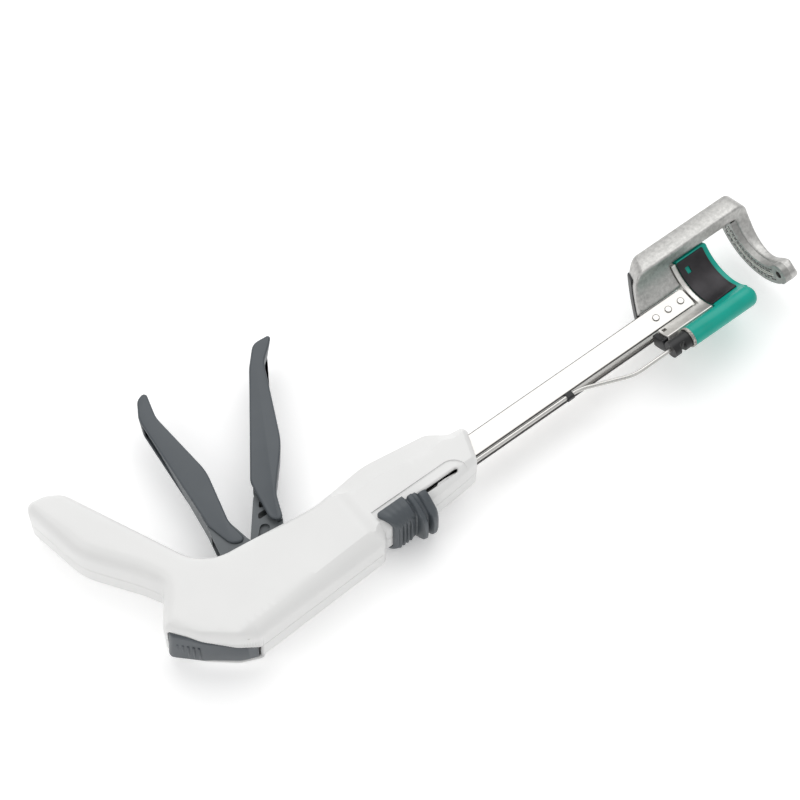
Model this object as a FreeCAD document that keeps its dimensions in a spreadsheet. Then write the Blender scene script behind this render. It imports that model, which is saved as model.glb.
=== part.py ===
import FreeCAD, Part
import math
import os
import re
import Sketcher
from FreeCAD import Vector

# Curved cutter stapler, lying on its side.
# X runs along the shaft to the head, Y towards the triggers, Z up from the
# face that the instrument rests on. The origin is under the shaft's centre line.

os.makedirs("parts", exist_ok=True)
doc = FreeCAD.newDocument("curved_cutter_stapler")

# Driving sizes, in millimetres and degrees
SIZES = {
    # housing
    "mid_height": 16.0,
    "housing_half": 16.0,
    "housing_wall": 2.2,
    "bevel_width": 7.0,
    "bevel_depth": 7.0,
    "nose_half": 13.2,
    "nose_taper_start": 1.0,
    "nose_taper_end": 14.5,
    "opening_half": 8.2,
    "opening_back": -66.0,
    "opening_front": -16.5,
    "boss_radius": 3.6,
    "screw_radius": 1.5,
    "screw_head_radius": 2.8,
    "screw_head_depth": 2.2,
    "fit_gap": 0.05,
    "slide_gap": 0.25,
    "moving_gap": 0.4,
    # trigger pivot and drive
    "pivot_x": -42.0,
    "pivot_y": 14.0,
    "pivot_pin_radius": 2.5,
    "pivot_ring_radius": 6.2,
    "bush_radius": 4.4,
    "closing_stroke": 13.0,
    "closing_angle": 29.0,
    "firing_angle": 22.0,
    "drive_pin_radius": 1.9,
    "cheek_half_out": 6.7,
    "cheek_half_in": 4.7,
    "firing_arm_half": 4.3,
    "firing_lug_half": 1.2,
    "cover_half": 8.0,
    "cover_wall": 1.3,
    # shaft
    "plate_half_height": 5.3,
    "plate_thickness": 1.5,
    "plate_gap_half": 3.75,
    "plate_rear": -2.5,
    "plate_front": 198.5,
    "plate_corner": 3.0,
    "anchor_pin_radius": 2.0,
    "rivet_radius": 1.5,
    "rivet_pitch": 7.5,
    "rivet_last": 193.8,
    # closure member and firing bar
    "channel_half": 3.5,
    "channel_wall": 0.9,
    "channel_half_height": 4.6,
    "yoke_wall_in": 3.1,
    "yoke_wall_out": 4.4,
    "bar_half": 1.2,
    "bar_low": -3.3,
    "bar_high": 4.3,
    # return springs
    "closing_spring_rear": -23.3,
    "closing_spring_seat": 13.8,
    "closing_spring_side": 9.3,
    "firing_spring_rear": 75.0,
    "spring_stop": 112.0,
    "spring_stop_side": 0.5,
    # head
    "arc_height": 39.5,
    "inner_radius": 17.5,
    "staple_line_radius": 23.0,
    "outer_radius": 28.0,
    "frame_outer_radius": 29.5,
    "frame_rear": 173.0,
    "cartridge_rear": 202.0,
    "cartridge_face": 221.5,
    "anvil_face": 236.5,
    "anvil_thickness": 3.2,
    "head_front": 247.0,
    "spine_start_angle": 55.0,
    "spine_end_angle": 82.0,
    "staple_line_angle": 46.0,
    "tube_radius": 5.5,
    "tube_bore_radius": 4.5,
    "tube_angle": -57.5,
    "tube_rear": 184.5,
    "guide_pin_radius": 1.6,
    "knife_thickness": 0.6,
    "face_block": 5.2,
    "staple_wire": 0.3,
    "staple_crown": 3.4,
    # saddle slide and push rod
    "saddle_travel": 20.0,
    "saddle_rear": 15.2,
    "saddle_length": 21.4,
    "saddle_wall": 2.0,
    "saddle_rib_pitch": 3.4,
    "saddle_collar": 6.0,
    "saddle_slot_side": -8.2,
    "saddle_slot_half": 1.15,
    "saddle_lug_rear": 24.0,
    "saddle_lug_front": 31.0,
    "rod_radius": 1.0,
    "rod_side": -6.7,
    "rod_height": 20.0,
    "rod_step_rear": 126.5,
    "rod_step_front": 149.0,
    "rod_bend_radius": 16.0,
    "clip_rear": 119.5,
    "couplet_rear": 170.5,
    "couplet_front": 182.0,
    # heel button
    "button_groove_radius": 0.9,
    "button_pin_radius": 1.3,
}


def add_sheet():
    """Puts every driving size in a sheet, one alias to a cell."""
    sheet = doc.addObject("Spreadsheet::Sheet", "Sizes")
    for row, (name, value) in enumerate(SIZES.items(), start=1):
        sheet.set("A%d" % row, name)
        sheet.set("B%d" % row, str(value))
        sheet.setAlias("B%d" % row, name)
    doc.recompute()
    return sheet


SHEET = add_sheet()


def size(name):
    """Value of one size, read back from the sheet."""
    return float(SHEET.get(name))


def bind(thing, prop, formula):
    """Ties a property to a formula written with the names in the sheet."""
    thing.setExpression(prop, re.sub(r"[a-z][a-z_]*", lambda name: "Sizes." + name.group(), formula))


MID = size("mid_height")
PIVOT = Vector(size("pivot_x"), size("pivot_y"), 0)
ARC_Z = size("arc_height")
BODIES = []


# Small helpers shared by all the pieces

def new_body(label):
    """An empty body that becomes one node."""
    body = doc.addObject("PartDesign::Body", label)
    body.Label = label
    BODIES.append(body)
    return body


def new_sketch(body, role, height=""):
    """A sketch on one of the body's own planes, lifted by a formula."""
    plane = next(item for item in body.Origin.OriginFeatures if item.Role == role)
    sketch = body.newObject("Sketcher::SketchObject", body.Label + "_sketch")
    sketch.AttachmentSupport = (plane, [""])
    sketch.MapMode = "FlatFace"
    if height:
        bind(sketch, "AttachmentOffset.Base.z", height)
    return sketch


def rounded(corners):
    """Lines and arcs of a closed outline whose corners are (x, y, radius); a radius is kept within its sides."""
    stations = []
    for index, (x, y, radius) in enumerate(corners):
        before = corners[index - 1]
        after = corners[(index + 1) % len(corners)]
        corner = Vector(x, y, 0)
        back = Vector(before[0], before[1], 0) - corner
        ahead = Vector(after[0], after[1], 0) - corner
        room = 0.49 * min(back.Length, ahead.Length)
        back.normalize()
        ahead.normalize()
        half = math.acos(max(-1.0, min(1.0, back.dot(ahead)))) / 2
        if radius / math.tan(half) > room:
            radius = room * math.tan(half)
        reach = radius / math.tan(half)
        middle = corner + (back + ahead).normalize() * (radius / math.sin(half) - radius)
        stations.append((corner + back * reach, middle, corner + ahead * reach, radius > 0))
    edges = []
    for index, (start, middle, end, is_round) in enumerate(stations):
        if is_round:
            edges.append(Part.Arc(start, middle, end))
        edges.append(Part.LineSegment(end, stations[(index + 1) % len(stations)][0]))
    return edges


def inset(corners, distance):
    """The same anticlockwise outline, moved inwards all round."""
    lines = []
    for index, (x, y, radius) in enumerate(corners):
        after = corners[(index + 1) % len(corners)]
        along = (Vector(after[0], after[1], 0) - Vector(x, y, 0)).normalize()
        lines.append((Vector(x - along.y * distance, y + along.x * distance, 0), along))
    moved = []
    for index, (x, y, radius) in enumerate(corners):
        point, along = lines[index]
        last_point, last_along = lines[index - 1]
        turn = last_along.x * along.y - last_along.y * along.x
        gap = point - last_point
        step = (gap.x * along.y - gap.y * along.x) / turn
        corner = last_point + last_along * step
        new_radius = max(radius - distance, 0.4) if turn > 0 else radius + distance
        moved.append((corner.x, corner.y, new_radius))
    return moved


def draw(sketch, edges):
    sketch.addGeometry(edges, False)
    return sketch


def disc(sketch, x, y, radius, extra=0.0):
    """A circle at a place worked out before, its radius tied to a size."""
    number = sketch.addGeometry(Part.Circle(Vector(x, y, 0), Vector(0, 0, 1), size(radius) + extra), False)
    index = sketch.addConstraint(Sketcher.Constraint("Radius", number, size(radius) + extra))
    bind(sketch, "Constraints[%d]" % index, radius if extra == 0 else "%s + %g" % (radius, extra))


def box_edges(x_low, x_high, y_low, y_high):
    return rounded([(x_low, y_low, 0), (x_high, y_low, 0), (x_high, y_high, 0), (x_low, y_high, 0)])


def slot_edges(x_low, x_high, y, half_width):
    """A straight slot with round ends, long in the first direction."""
    return rounded([(x_low, y - half_width, half_width * 0.999), (x_high, y - half_width, half_width * 0.999),
                    (x_high, y + half_width, half_width * 0.999), (x_low, y + half_width, half_width * 0.999)])


def upright_slot_edges(x, y_low, y_high, half_width):
    return rounded([(x - half_width, y_low, half_width * 0.999), (x + half_width, y_low, half_width * 0.999),
                    (x + half_width, y_high, half_width * 0.999), (x - half_width, y_high, half_width * 0.999)])


def pad(body, sketch, length, back=False, both=False):
    feature = body.newObject("PartDesign::Pad", body.Label + "_pad")
    feature.Profile = sketch
    feature.SideType = "Symmetric" if both else "One side"
    feature.Reversed = back
    bind(feature, "Length", length)
    return feature


def pocket(body, sketch, length="", back=False, both=False):
    """A cut that must take something away; without a length it goes right through both ways."""
    doc.recompute()
    before = body.Shape.Volume
    feature = body.newObject("PartDesign::Pocket", body.Label + "_pocket")
    feature.Profile = sketch
    feature.Reversed = back
    if length:
        feature.SideType = "Symmetric" if both else "One side"
        bind(feature, "Length", length)
    else:
        feature.Type = "ThroughAll"
        feature.SideType = "Symmetric"
    doc.recompute()
    if not body.Shape.Volume < before - 1e-6:
        print("cut takes nothing away:", body.Label, feature.Label)
    return feature


def polar(radius, angle):
    """Y and Z of a point of the head; the angle runs from straight down towards the spine."""
    turn = math.radians(angle)
    return radius * math.sin(turn), ARC_Z - radius * math.cos(turn)


def sector(inner, outer, start, end):
    """Edges of a piece of a ring about the head's centre."""
    corners = [polar(inner, start), polar(outer, start), polar(outer, end), polar(inner, end)]
    points = [Vector(y, z, 0) for y, z in corners]
    outer_middle = Vector(*polar(outer, (start + end) / 2), 0)
    inner_middle = Vector(*polar(inner, (start + end) / 2), 0)
    return [Part.LineSegment(points[0], points[1]), Part.Arc(points[1], outer_middle, points[2]),
            Part.LineSegment(points[2], points[3]), Part.Arc(points[3], inner_middle, points[0])]


def crescent(body, rear, length, inner, outer, start, end, cut=False):
    """A sector drawn across the shaft and pushed along it, as a solid or as a cut."""
    sketch = draw(new_sketch(body, "YZ_Plane", rear), sector(inner, outer, start, end))
    return pocket(body, sketch, length, back=True) if cut else pad(body, sketch, length)


# Places worked out from the driving sizes

CLOSING_HALF = size("closing_angle") / 2
DRIVE_HALF = (size("closing_angle") + size("firing_angle")) / 2


def sine(angle):
    return math.sin(math.radians(angle))


CLOSING_ARM = size("closing_stroke") / (2 * sine(CLOSING_HALF))
FIRING_ARM = size("closing_stroke") / (sine(DRIVE_HALF) - sine(DRIVE_HALF - size("closing_angle")))
FIRING_STROKE = FIRING_ARM * (sine(DRIVE_HALF) - sine(DRIVE_HALF - size("firing_angle")))


def on_arm(arm, angle):
    """A point below the pivot, on an arm turned by an angle from straight down."""
    return PIVOT + Vector(arm * sine(angle), -arm * math.cos(math.radians(angle)), 0)


CLOSING_PIN = on_arm(CLOSING_ARM, -CLOSING_HALF)
CLOSING_PIN_LOW = PIVOT.y - CLOSING_ARM
FIRING_PIN = on_arm(FIRING_ARM, -DRIVE_HALF)
FIRING_PIN_LOW = PIVOT.y - FIRING_ARM
FULL_STROKE = size("closing_stroke") + FIRING_STROKE
TUBE_Y, TUBE_Z = polar(size("staple_line_radius"), size("tube_angle"))

HOUSING_OUTLINE = [
    (68.0, -11.8, 4.0),
    (71.5, 10.0, 4.0),
    (52.0, 18.5, 14.0),
    (24.0, 22.6, 30.0),
    (-6.0, 18.6, 30.0),
    (-62.1, 24.0, 20.0),
    (-92.0, 92.0, 14.0),
    (-95.5, 99.5, 6.0),
    (-108.4, 99.2, 5.0),
    (-102.0, 58.0, 60.0),
    (-82.0, 26.5, 6.0),
    (-91.5, 12.5, 3.5),
    (-64.5, -18.6, 5.0),
    (7.5, -17.8, 4.0),
    (12.8, -11.8, 2.0),
]
SCREW_PLACES = [(-100.5, 89.0), (-86.0, 50.0), (-72.5, 21.0), (23.5, 15.2), (54.0, 11.0)]
ANCHOR_PLACES = [(6.0, 0.0), (50.0, 0.0)]
YOKE_RIVET = (-23.0, 0.5)
BUTTON_PIVOT = (-67.2, -16.2)
RIVET_PLACES = [(size("rivet_last") - step * size("rivet_pitch"), 0.0) for step in range(3)]
SPRING_STOP = (size("spring_stop"), size("spring_stop_side"))
RAIL_LOW = HOUSING_OUTLINE[0][1]
STAPLE_ROWS = [(-2.75, 0.0), (-1.55, 0.5), (1.55, 0.5), (2.75, 0.0)]
STAPLES_IN_ROW = 8


# Housing: two moulded shells that meet at the middle of the thickness

def housing_shell(label, sign):
    """One shell: a straight wall, then a bevel up to the flat side face."""
    body = new_body(label)
    upwards = sign == "+"
    base = draw(new_sketch(body, "XY_Plane", "mid_height"), rounded(HOUSING_OUTLINE))
    pad(body, base, "housing_half - bevel_depth", back=not upwards)
    low = "mid_height %s (housing_half - bevel_depth)" % sign
    high = "mid_height %s housing_half" % sign
    lower = draw(new_sketch(body, "XY_Plane", low), rounded(HOUSING_OUTLINE))
    upper = draw(new_sketch(body, "XY_Plane", high), rounded(inset(HOUSING_OUTLINE, size("bevel_width"))))
    bevel = body.newObject("PartDesign::AdditiveLoft", label + "_bevel")
    bevel.Profile = lower
    bevel.Sections = [upper]
    bevel.Ruled = True
    thin_nose(body, 1 if upwards else -1)
    cavity = draw(new_sketch(body, "XY_Plane", "mid_height"), rounded(inset(HOUSING_OUTLINE, size("housing_wall"))))
    pocket(body, cavity, "housing_half - bevel_depth", back=upwards)
    deep = new_sketch(body, "XY_Plane", "mid_height")
    draw(deep, rounded([(-56, -9, 3), (-16, -9, 3), (-16, 12, 3), (-56, 12, 3)]))
    pocket(body, deep, "housing_half - housing_wall", back=upwards)
    add_bosses(body, upwards)
    cut_housing_openings(body, upwards)
    return body


def thin_nose(body, up):
    """The side face slopes in towards the nose, where the saddle rides."""
    start = size("nose_taper_start")
    end = size("nose_taper_end")
    full = MID + up * (size("housing_half") + 1)
    flat = MID + up * size("housing_half")
    thin = MID + up * size("nose_half")
    sketch = new_sketch(body, "XZ_Plane")
    draw(sketch, rounded([(start, flat, 0), (end, thin, 0), (80, thin, 0), (80, full, 0), (start, full, 0)]))
    pocket(body, sketch)


def add_bosses(body, upwards):
    """Screw posts, pivot boss and shaft posts, from the side wall to where each one seats."""
    posts = new_sketch(body, "XY_Plane", "mid_height")
    for x, y in SCREW_PLACES:
        disc(posts, x, y, "boss_radius")
    pad(body, posts, "housing_half - bevel_depth + 1", back=not upwards)
    sign = "+" if upwards else "-"
    pivot = new_sketch(body, "XY_Plane", "mid_height %s opening_half" % sign)
    disc(pivot, PIVOT.x, PIVOT.y, "pivot_ring_radius")
    pad(body, pivot, "housing_half - housing_wall - opening_half + 0.2", back=not upwards)
    stop = new_sketch(body, "XY_Plane", "mid_height")
    draw(stop, box_edges(size("closing_spring_seat"), size("closing_spring_seat") + 2, 5.8, 21.0))
    pad(body, stop, "housing_half - bevel_depth + 1", back=not upwards)
    shaft = new_sketch(body, "XY_Plane", "mid_height %s (plate_gap_half + plate_thickness)" % sign)
    for x, y in ANCHOR_PLACES:
        disc(shaft, x, y, "boss_radius", 0.6)
    pad(body, shaft, "housing_half - bevel_depth - plate_gap_half - plate_thickness + 0.5", back=not upwards)


def cut_housing_openings(body, upwards):
    """Mouth for the triggers, nose mouth for the shaft, heel mouth, saddle slot and the pin holes."""
    back = size("opening_back")
    front = size("opening_front")
    mouth = new_sketch(body, "XY_Plane", "mid_height")
    draw(mouth, rounded([(back, 12, 0), (front, 12, 0), (front, 34, 0), (back + 8, 52, 0), (back, 52, 0)]))
    pocket(body, mouth, "opening_half", back=upwards)
    half = size("plate_half_height") + size("fit_gap")
    nose = draw(new_sketch(body, "XY_Plane", "mid_height"), box_edges(60, 76, -half, half))
    pocket(body, nose, "plate_gap_half + plate_thickness + fit_gap", back=upwards)
    heel = new_sketch(body, "XY_Plane", "mid_height")
    draw(heel, rounded([(-98, 6, 0), (-62, -25, 0), (-57.5, -14, 0), (-81, 14.5, 0), (-92, 16, 0)]))
    pocket(body, heel, "opening_half + 0.8", back=upwards)
    sign = "+" if upwards else "-"
    slot_rear = size("saddle_lug_rear") - 2
    slot_front = size("saddle_lug_front") + 2.5 + size("saddle_travel")
    track = new_sketch(body, "XY_Plane", "mid_height %s (housing_half - bevel_depth - 1)" % sign)
    draw(track, slot_edges(slot_rear, slot_front, size("saddle_slot_side"), size("saddle_slot_half")))
    pocket(body, track, "housing_half", back=upwards)
    holes = new_sketch(body, "XY_Plane", "mid_height")
    disc(holes, PIVOT.x, PIVOT.y, "pivot_pin_radius", 0.01)
    for x, y in ANCHOR_PLACES:
        disc(holes, x, y, "anchor_pin_radius", 0.01)
    pocket(body, holes, "housing_half - housing_wall - 0.8", back=upwards)
    button = new_sketch(body, "XY_Plane", "mid_height")
    disc(button, BUTTON_PIVOT[0], BUTTON_PIVOT[1], "button_pin_radius", 0.01)
    pocket(body, button, "opening_half + 3.2", back=upwards)
    screws = new_sketch(body, "XY_Plane", "mid_height")
    for x, y in SCREW_PLACES:
        disc(screws, x, y, "screw_radius", 0.02)
    pocket(body, screws, "9" if upwards else "housing_half + 1", back=upwards)
    if upwards:
        rod_hole = new_sketch(body, "YZ_Plane", "60")
        reach = size("rod_radius") + 0.3
        draw(rod_hole, box_edges(size("rod_side") - reach, -5, size("rod_height") - reach, size("rod_height") + reach))
        pocket(body, rod_hole, "16", back=True)
        return
    heads = new_sketch(body, "XY_Plane", "0")
    for x, y in SCREW_PLACES:
        disc(heads, x, y, "screw_head_radius", 0.1)
    pocket(body, heads, "mid_height - nose_half + screw_head_depth", back=True)


housing_shell("housing_left", "+")
housing_shell("housing_right", "-")


def housing_screws():
    """Five pan-head screws put in from the side that faces down."""
    body = new_body("housing_screws")
    body.AllowCompound = True
    heads = new_sketch(body, "XY_Plane", "mid_height - nose_half + 0.1")
    shanks = new_sketch(body, "XY_Plane", "mid_height - nose_half + screw_head_depth")
    for x, y in SCREW_PLACES:
        disc(heads, x, y, "screw_head_radius")
        disc(shanks, x, y, "screw_radius")
    pad(body, heads, "screw_head_depth - 0.1")
    pad(body, shanks, "nose_half - screw_head_depth + 8")


def pins(label, places, radius, half_length):
    """Round pins along Z, centred on the middle of the thickness, in one node."""
    body = new_body(label)
    body.AllowCompound = True
    sketch = new_sketch(body, "XY_Plane", "mid_height")
    for x, y in places:
        disc(sketch, x, y, radius)
    pad(body, sketch, "2 * (%s)" % half_length, both=True)
    return body


housing_screws()
pins("trigger_pivot_pin", [(PIVOT.x, PIVOT.y)], "pivot_pin_radius", "housing_half - housing_wall - 1")
pins("shaft_anchor_pins", ANCHOR_PLACES, "anchor_pin_radius", "housing_half - housing_wall - 1")


def pivot_bushes():
    """Two rings that keep the trigger arms apart from the housing bosses."""
    body = new_body("pivot_bushes")
    body.AllowCompound = True
    for sign, back in (("+", False), ("-", True)):
        sketch = new_sketch(body, "XY_Plane", "mid_height %s (cheek_half_out + slide_gap)" % sign)
        disc(sketch, PIVOT.x, PIVOT.y, "bush_radius")
        disc(sketch, PIVOT.x, PIVOT.y, "pivot_pin_radius", 0.02)
        pad(body, sketch, "opening_half - cheek_half_out - slide_gap", back=back)


pivot_bushes()


# Shaft: two flat frame plates with the closure member between them

def frame_plate(label, sign):
    body = new_body(label)
    height = size("plate_half_height")
    corner = size("plate_corner")
    sketch = new_sketch(body, "XY_Plane", "mid_height %s plate_gap_half" % sign)
    draw(sketch, rounded([(size("plate_rear"), -height, 1), (size("plate_front"), -height, corner),
                          (size("plate_front"), height, corner), (size("plate_rear"), height, 1)]))
    for x, y in ANCHOR_PLACES:
        disc(sketch, x, y, "anchor_pin_radius", 0.01)
    for x, y in RIVET_PLACES:
        disc(sketch, x, y, "rivet_radius", 0.01)
    pad(body, sketch, "plate_thickness", back=sign == "-")


frame_plate("frame_plate_left", "+")
frame_plate("frame_plate_right", "-")


def plate_rivets():
    """Three rivets through both plates and the floor of the head frame, with low domed heads."""
    body = new_body("plate_rivets")
    body.AllowCompound = True
    shanks = new_sketch(body, "XY_Plane", "mid_height + plate_gap_half + plate_thickness + 0.4")
    for x, y in RIVET_PLACES:
        disc(shanks, x, y, "rivet_radius")
    pad(body, shanks, "2 * (plate_gap_half + plate_thickness) + 1.4", back=True)


plate_rivets()


def slotted_sketch(sketch, places, radius, travel):
    """Slots that let fixed pins stand still while the piece slides forward."""
    for x, y in places:
        reach = size(radius) + size("moving_gap")
        draw(sketch, slot_edges(x - travel - reach, x + reach, y, reach))


def closure_member():
    """A long channel, open towards the triggers, that carries the cartridge forward."""
    body = new_body("closure_member")
    rear = YOKE_RIVET[0] - 3.5
    outer = box_edges(-size("channel_half_height"), size("channel_half_height"),
                      MID - size("channel_half"), MID + size("channel_half"))
    sketch = draw(new_sketch(body, "YZ_Plane", "%g" % rear), outer)
    pad(body, sketch, "cartridge_rear - 2.8 - (%g)" % rear)
    inside = size("channel_half") - size("channel_wall")
    hollow = draw(new_sketch(body, "YZ_Plane", "%g" % (rear - 1)),
                  box_edges(-size("channel_half_height") + size("channel_wall"), 6, MID - inside, MID + inside))
    pocket(body, hollow, "cartridge_rear - (%g)" % rear, back=True)
    side = new_sketch(body, "XY_Plane", "mid_height")
    slotted_sketch(side, ANCHOR_PLACES, "anchor_pin_radius", size("closing_stroke"))
    reach = size("rivet_radius") + size("moving_gap")
    draw(side, slot_edges(RIVET_PLACES[-1][0] - size("closing_stroke") - reach, RIVET_PLACES[0][0] + reach, 0, reach))
    disc(side, YOKE_RIVET[0], YOKE_RIVET[1], "rivet_radius", 0.01)
    disc(side, SPRING_STOP[0], SPRING_STOP[1], "rivet_radius", 0.01)
    pocket(body, side)


closure_member()


def closure_yoke():
    """Two side walls riveted to the channel; the closing pin works in their upright slots."""
    body = new_body("closure_yoke")
    body.AllowCompound = True
    low = CLOSING_PIN_LOW - 3.7
    outline = [(CLOSING_PIN.x - 5, low, 2), (CLOSING_PIN.x + 5, low, 2), (-33, -4.6, 6), (-16.5, -4.6, 1),
               (-16.5, 3.6, 1), (-22.8, 3.6, 2), (-24.0, 13.0, 1), (-28.8, 13.0, 1), (-30.0, 3.6, 3), (CLOSING_PIN.x - 5, 3.6, 3)]
    reach = size("drive_pin_radius") + 0.2
    top = PIVOT.y - CLOSING_ARM * math.cos(math.radians(CLOSING_HALF))
    for sign, back in (("+", False), ("-", True)):
        sketch = new_sketch(body, "XY_Plane", "mid_height %s (channel_half + fit_gap)" % sign)
        draw(sketch, rounded(outline))
        draw(sketch, upright_slot_edges(CLOSING_PIN.x, CLOSING_PIN_LOW - reach - 0.3, top + reach + 0.3, reach))
        disc(sketch, YOKE_RIVET[0], YOKE_RIVET[1], "rivet_radius", 0.01)
        pad(body, sketch, "yoke_wall_out - channel_half - fit_gap", back=back)
    seat = draw(new_sketch(body, "XY_Plane", "mid_height"), box_edges(-27.0, -24.2, 6.0, 12.4))
    pad(body, seat, "2 * yoke_wall_out - 1", both=True)


closure_yoke()
pins("yoke_rivet", [YOKE_RIVET], "rivet_radius", "yoke_wall_out")
pins("spring_stop_pin", [SPRING_STOP], "rivet_radius", "channel_half")


def firing_bar():
    """A flat bar inside the channel, with a fork at the rear for the firing pin."""
    body = new_body("firing_bar")
    low = size("bar_low")
    high = size("bar_high")
    sketch = new_sketch(body, "XY_Plane", "mid_height")
    draw(sketch, box_edges(-39.6, size("cartridge_rear") + 1.2, low, high))
    slotted_sketch(sketch, ANCHOR_PLACES, "anchor_pin_radius", FULL_STROKE)
    slotted_sketch(sketch, [YOKE_RIVET], "rivet_radius", FIRING_STROKE)
    reach = size("rivet_radius") + size("moving_gap")
    draw(sketch, slot_edges(RIVET_PLACES[-1][0] - FULL_STROKE - reach, RIVET_PLACES[0][0] + reach, 0, reach))
    spring_window = box_edges(size("firing_spring_rear") - size("moving_gap"), SPRING_STOP[0] + reach,
                              SPRING_STOP[1] - reach, SPRING_STOP[1] + reach)
    draw(sketch, spring_window)
    pad(body, sketch, "2 * bar_half", both=True)
    block = draw(new_sketch(body, "XY_Plane", "mid_height"), box_edges(-39.6, -36.0, -2.6, 3.0))
    pad(body, block, "5.2", both=True)
    fork_low = FIRING_PIN_LOW - 3.3
    top = PIVOT.y - FIRING_ARM * math.cos(math.radians(DRIVE_HALF))
    grip = size("drive_pin_radius") + 0.3
    outline = [(FIRING_PIN.x - 4.6, fork_low, 2), (FIRING_PIN.x + 4.6, fork_low, 2), (-44, -3.2, 3), (-38.0, -3.2, 0),
               (-38.0, 3.0, 0), (FIRING_PIN.x - 4.6, 3.0, 2)]
    for sign, back in (("+", False), ("-", True)):
        fork = new_sketch(body, "XY_Plane", "mid_height %s (bar_half + 0.25)" % sign)
        draw(fork, rounded(outline))
        draw(fork, upright_slot_edges(FIRING_PIN.x, FIRING_PIN_LOW - grip - 0.2, top + grip + 0.2, grip))
        pad(body, fork, "2.6 - bar_half - 0.25", back=back)


firing_bar()


# Triggers: both swing on one pin; each arm carries a drive pin at its lower end

CLOSING_COVER = [
    (-36.8, 24.0, 2.0), (-38.8, 36.0, 14.0), (-32.2, 62.0, 34.0), (-36.4, 98.0, 16.0), (-31.8, 108.0, 5.0),
    (-31.3, 115.0, 1.6), (-38.5, 111.5, 7.0), (-43.0, 100.0, 16.0), (-50.4, 41.0, 5.0), (-47.5, 29.0, 9.0),
]
FIRING_COVER = [
    (-16.8, 25.0, 1.8), (-13.6, 36.4, 16.0), (2.5, 54.0, 40.0), (21.0, 92.0, 16.0), (30.0, 100.5, 5.0),
    (33.5, 105.0, 1.5), (22.5, 104.4, 7.0), (12.5, 92.0, 40.0), (-23.0, 42.5, 8.0), (-25.4, 26.0, 6.0),
]


def trigger_cover(label, outline, back_corners):
    """A finger cover: a moulded channel that is open along its back edge."""
    body = new_body(label)
    outside = draw(new_sketch(body, "XY_Plane", "mid_height"), rounded(outline))
    outer = pad(body, outside, "2 * cover_half", both=True)
    wall = size("cover_wall")
    inside = rounded(inset(outline, wall))
    cavity = draw(new_sketch(body, "XY_Plane", "mid_height"), inside)
    pocket(body, cavity, "2 * (cover_half - cover_wall)", both=True)
    mouth = draw(new_sketch(body, "XY_Plane", "mid_height"), rounded(back_corners))
    pocket(body, mouth, "2 * (cover_half - cover_wall)", both=True)
    return body


trigger_cover("closing_trigger_cover", CLOSING_COVER,
              [(-34, 20, 0), (-36.0, 34.0, 0), (-42.4, 60.0, 0), (-38.2, 99.0, 0), (-48, 101, 0), (-58, 30, 0)])
trigger_cover("firing_trigger_cover", FIRING_COVER,
              [(-12, 20, 0), (-17.6, 36.4, 0), (-6.0, 57.0, 0), (17.5, 92.0, 0), (9, 96, 0), (-30, 46, 0), (-34, 22, 0)])


def closing_arm():
    """The closing arm: a solid blade under the cover that splits into two cheeks round the pivot."""
    body = new_body("closing_trigger_arm")
    blade = [(-38.6, 24.0, 2), (-40.6, 36.0, 14), (-34.0, 62.0, 32), (-38.0, 96.0, 14), (-41.0, 98.5, 1),
             (-49.3, 41.0, 12), (-53.0, 24.0, 20), (-53.4, -2.0, 14), (CLOSING_PIN.x - 4.2, CLOSING_PIN.y - 4, 4.0),
             (CLOSING_PIN.x + 4.2, CLOSING_PIN.y - 4, 4.0), (-41.5, 0.0, 14), (-35.0, 13.0, 6)]
    pad(body, draw(new_sketch(body, "XY_Plane", "mid_height"), rounded(blade)), "2 * cheek_half_out", both=True)
    split = [(-60, -20, 0), (-30, -20, 0), (-30, 35.0, 0), (-60, 35.0, 0)]
    pocket(body, draw(new_sketch(body, "XY_Plane", "mid_height"), rounded(split)), "2 * cheek_half_in", both=True)
    hole = new_sketch(body, "XY_Plane", "mid_height")
    disc(hole, PIVOT.x, PIVOT.y, "pivot_pin_radius", 0.03)
    pocket(body, hole)


def closing_drive_pins():
    """Two stub pins that reach in from the cheeks to the slots of the yoke."""
    body = new_body("closing_drive_pins")
    body.AllowCompound = True
    for sign, back in (("+", False), ("-", True)):
        sketch = new_sketch(body, "XY_Plane", "mid_height %s (channel_half - 0.4)" % sign)
        disc(sketch, CLOSING_PIN.x, CLOSING_PIN.y, "drive_pin_radius")
        pad(body, sketch, "cheek_half_in - channel_half + 0.4", back=back)


closing_arm()
closing_drive_pins()


def firing_arm():
    """The firing arm: a ribbed skeleton between the cheeks, with a thin drive lug below the pivot."""
    body = new_body("firing_trigger_arm")
    web = [(-34.5, 10.0, 5), (-20.0, 22.5, 3), (-16.2, 36.4, 12), (0.5, 54.6, 36), (14.6, 82.5, 3), (11.5, 84.3, 1.5),
           (-19.5, 43.5, 10), (-24.8, 39.0, 3), (-40.0, 20.4, 6), (-48.4, 18.0, 6), (-48.4, 9.0, 6)]
    sketch = draw(new_sketch(body, "XY_Plane", "mid_height"), rounded(web))
    pad(body, sketch, "2 * firing_arm_half", both=True)
    windows = new_sketch(body, "XY_Plane", "mid_height")
    for low, high in ((0.36, 0.52), (0.62, 0.78)):
        draw(windows, arm_window(low, high))
    pocket(body, windows)
    sink_panels(body)
    lug = [(FIRING_PIN.x - 3.6, FIRING_PIN.y - 1.0, 3.4), (FIRING_PIN.x + 0.5, FIRING_PIN.y - 4.2, 2.0),
           (FIRING_PIN.x + 3.9, FIRING_PIN.y - 0.5, 2.5), (-37.0, 12.0, 4), (-47.0, 16.0, 4)]
    pad(body, draw(new_sketch(body, "XY_Plane", "mid_height"), rounded(lug)), "2 * firing_lug_half", both=True)
    holes = new_sketch(body, "XY_Plane", "mid_height")
    disc(holes, PIVOT.x, PIVOT.y, "pivot_pin_radius", 0.03)
    disc(holes, FIRING_PIN.x, FIRING_PIN.y, "drive_pin_radius", 0.01)
    pocket(body, holes)


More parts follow.
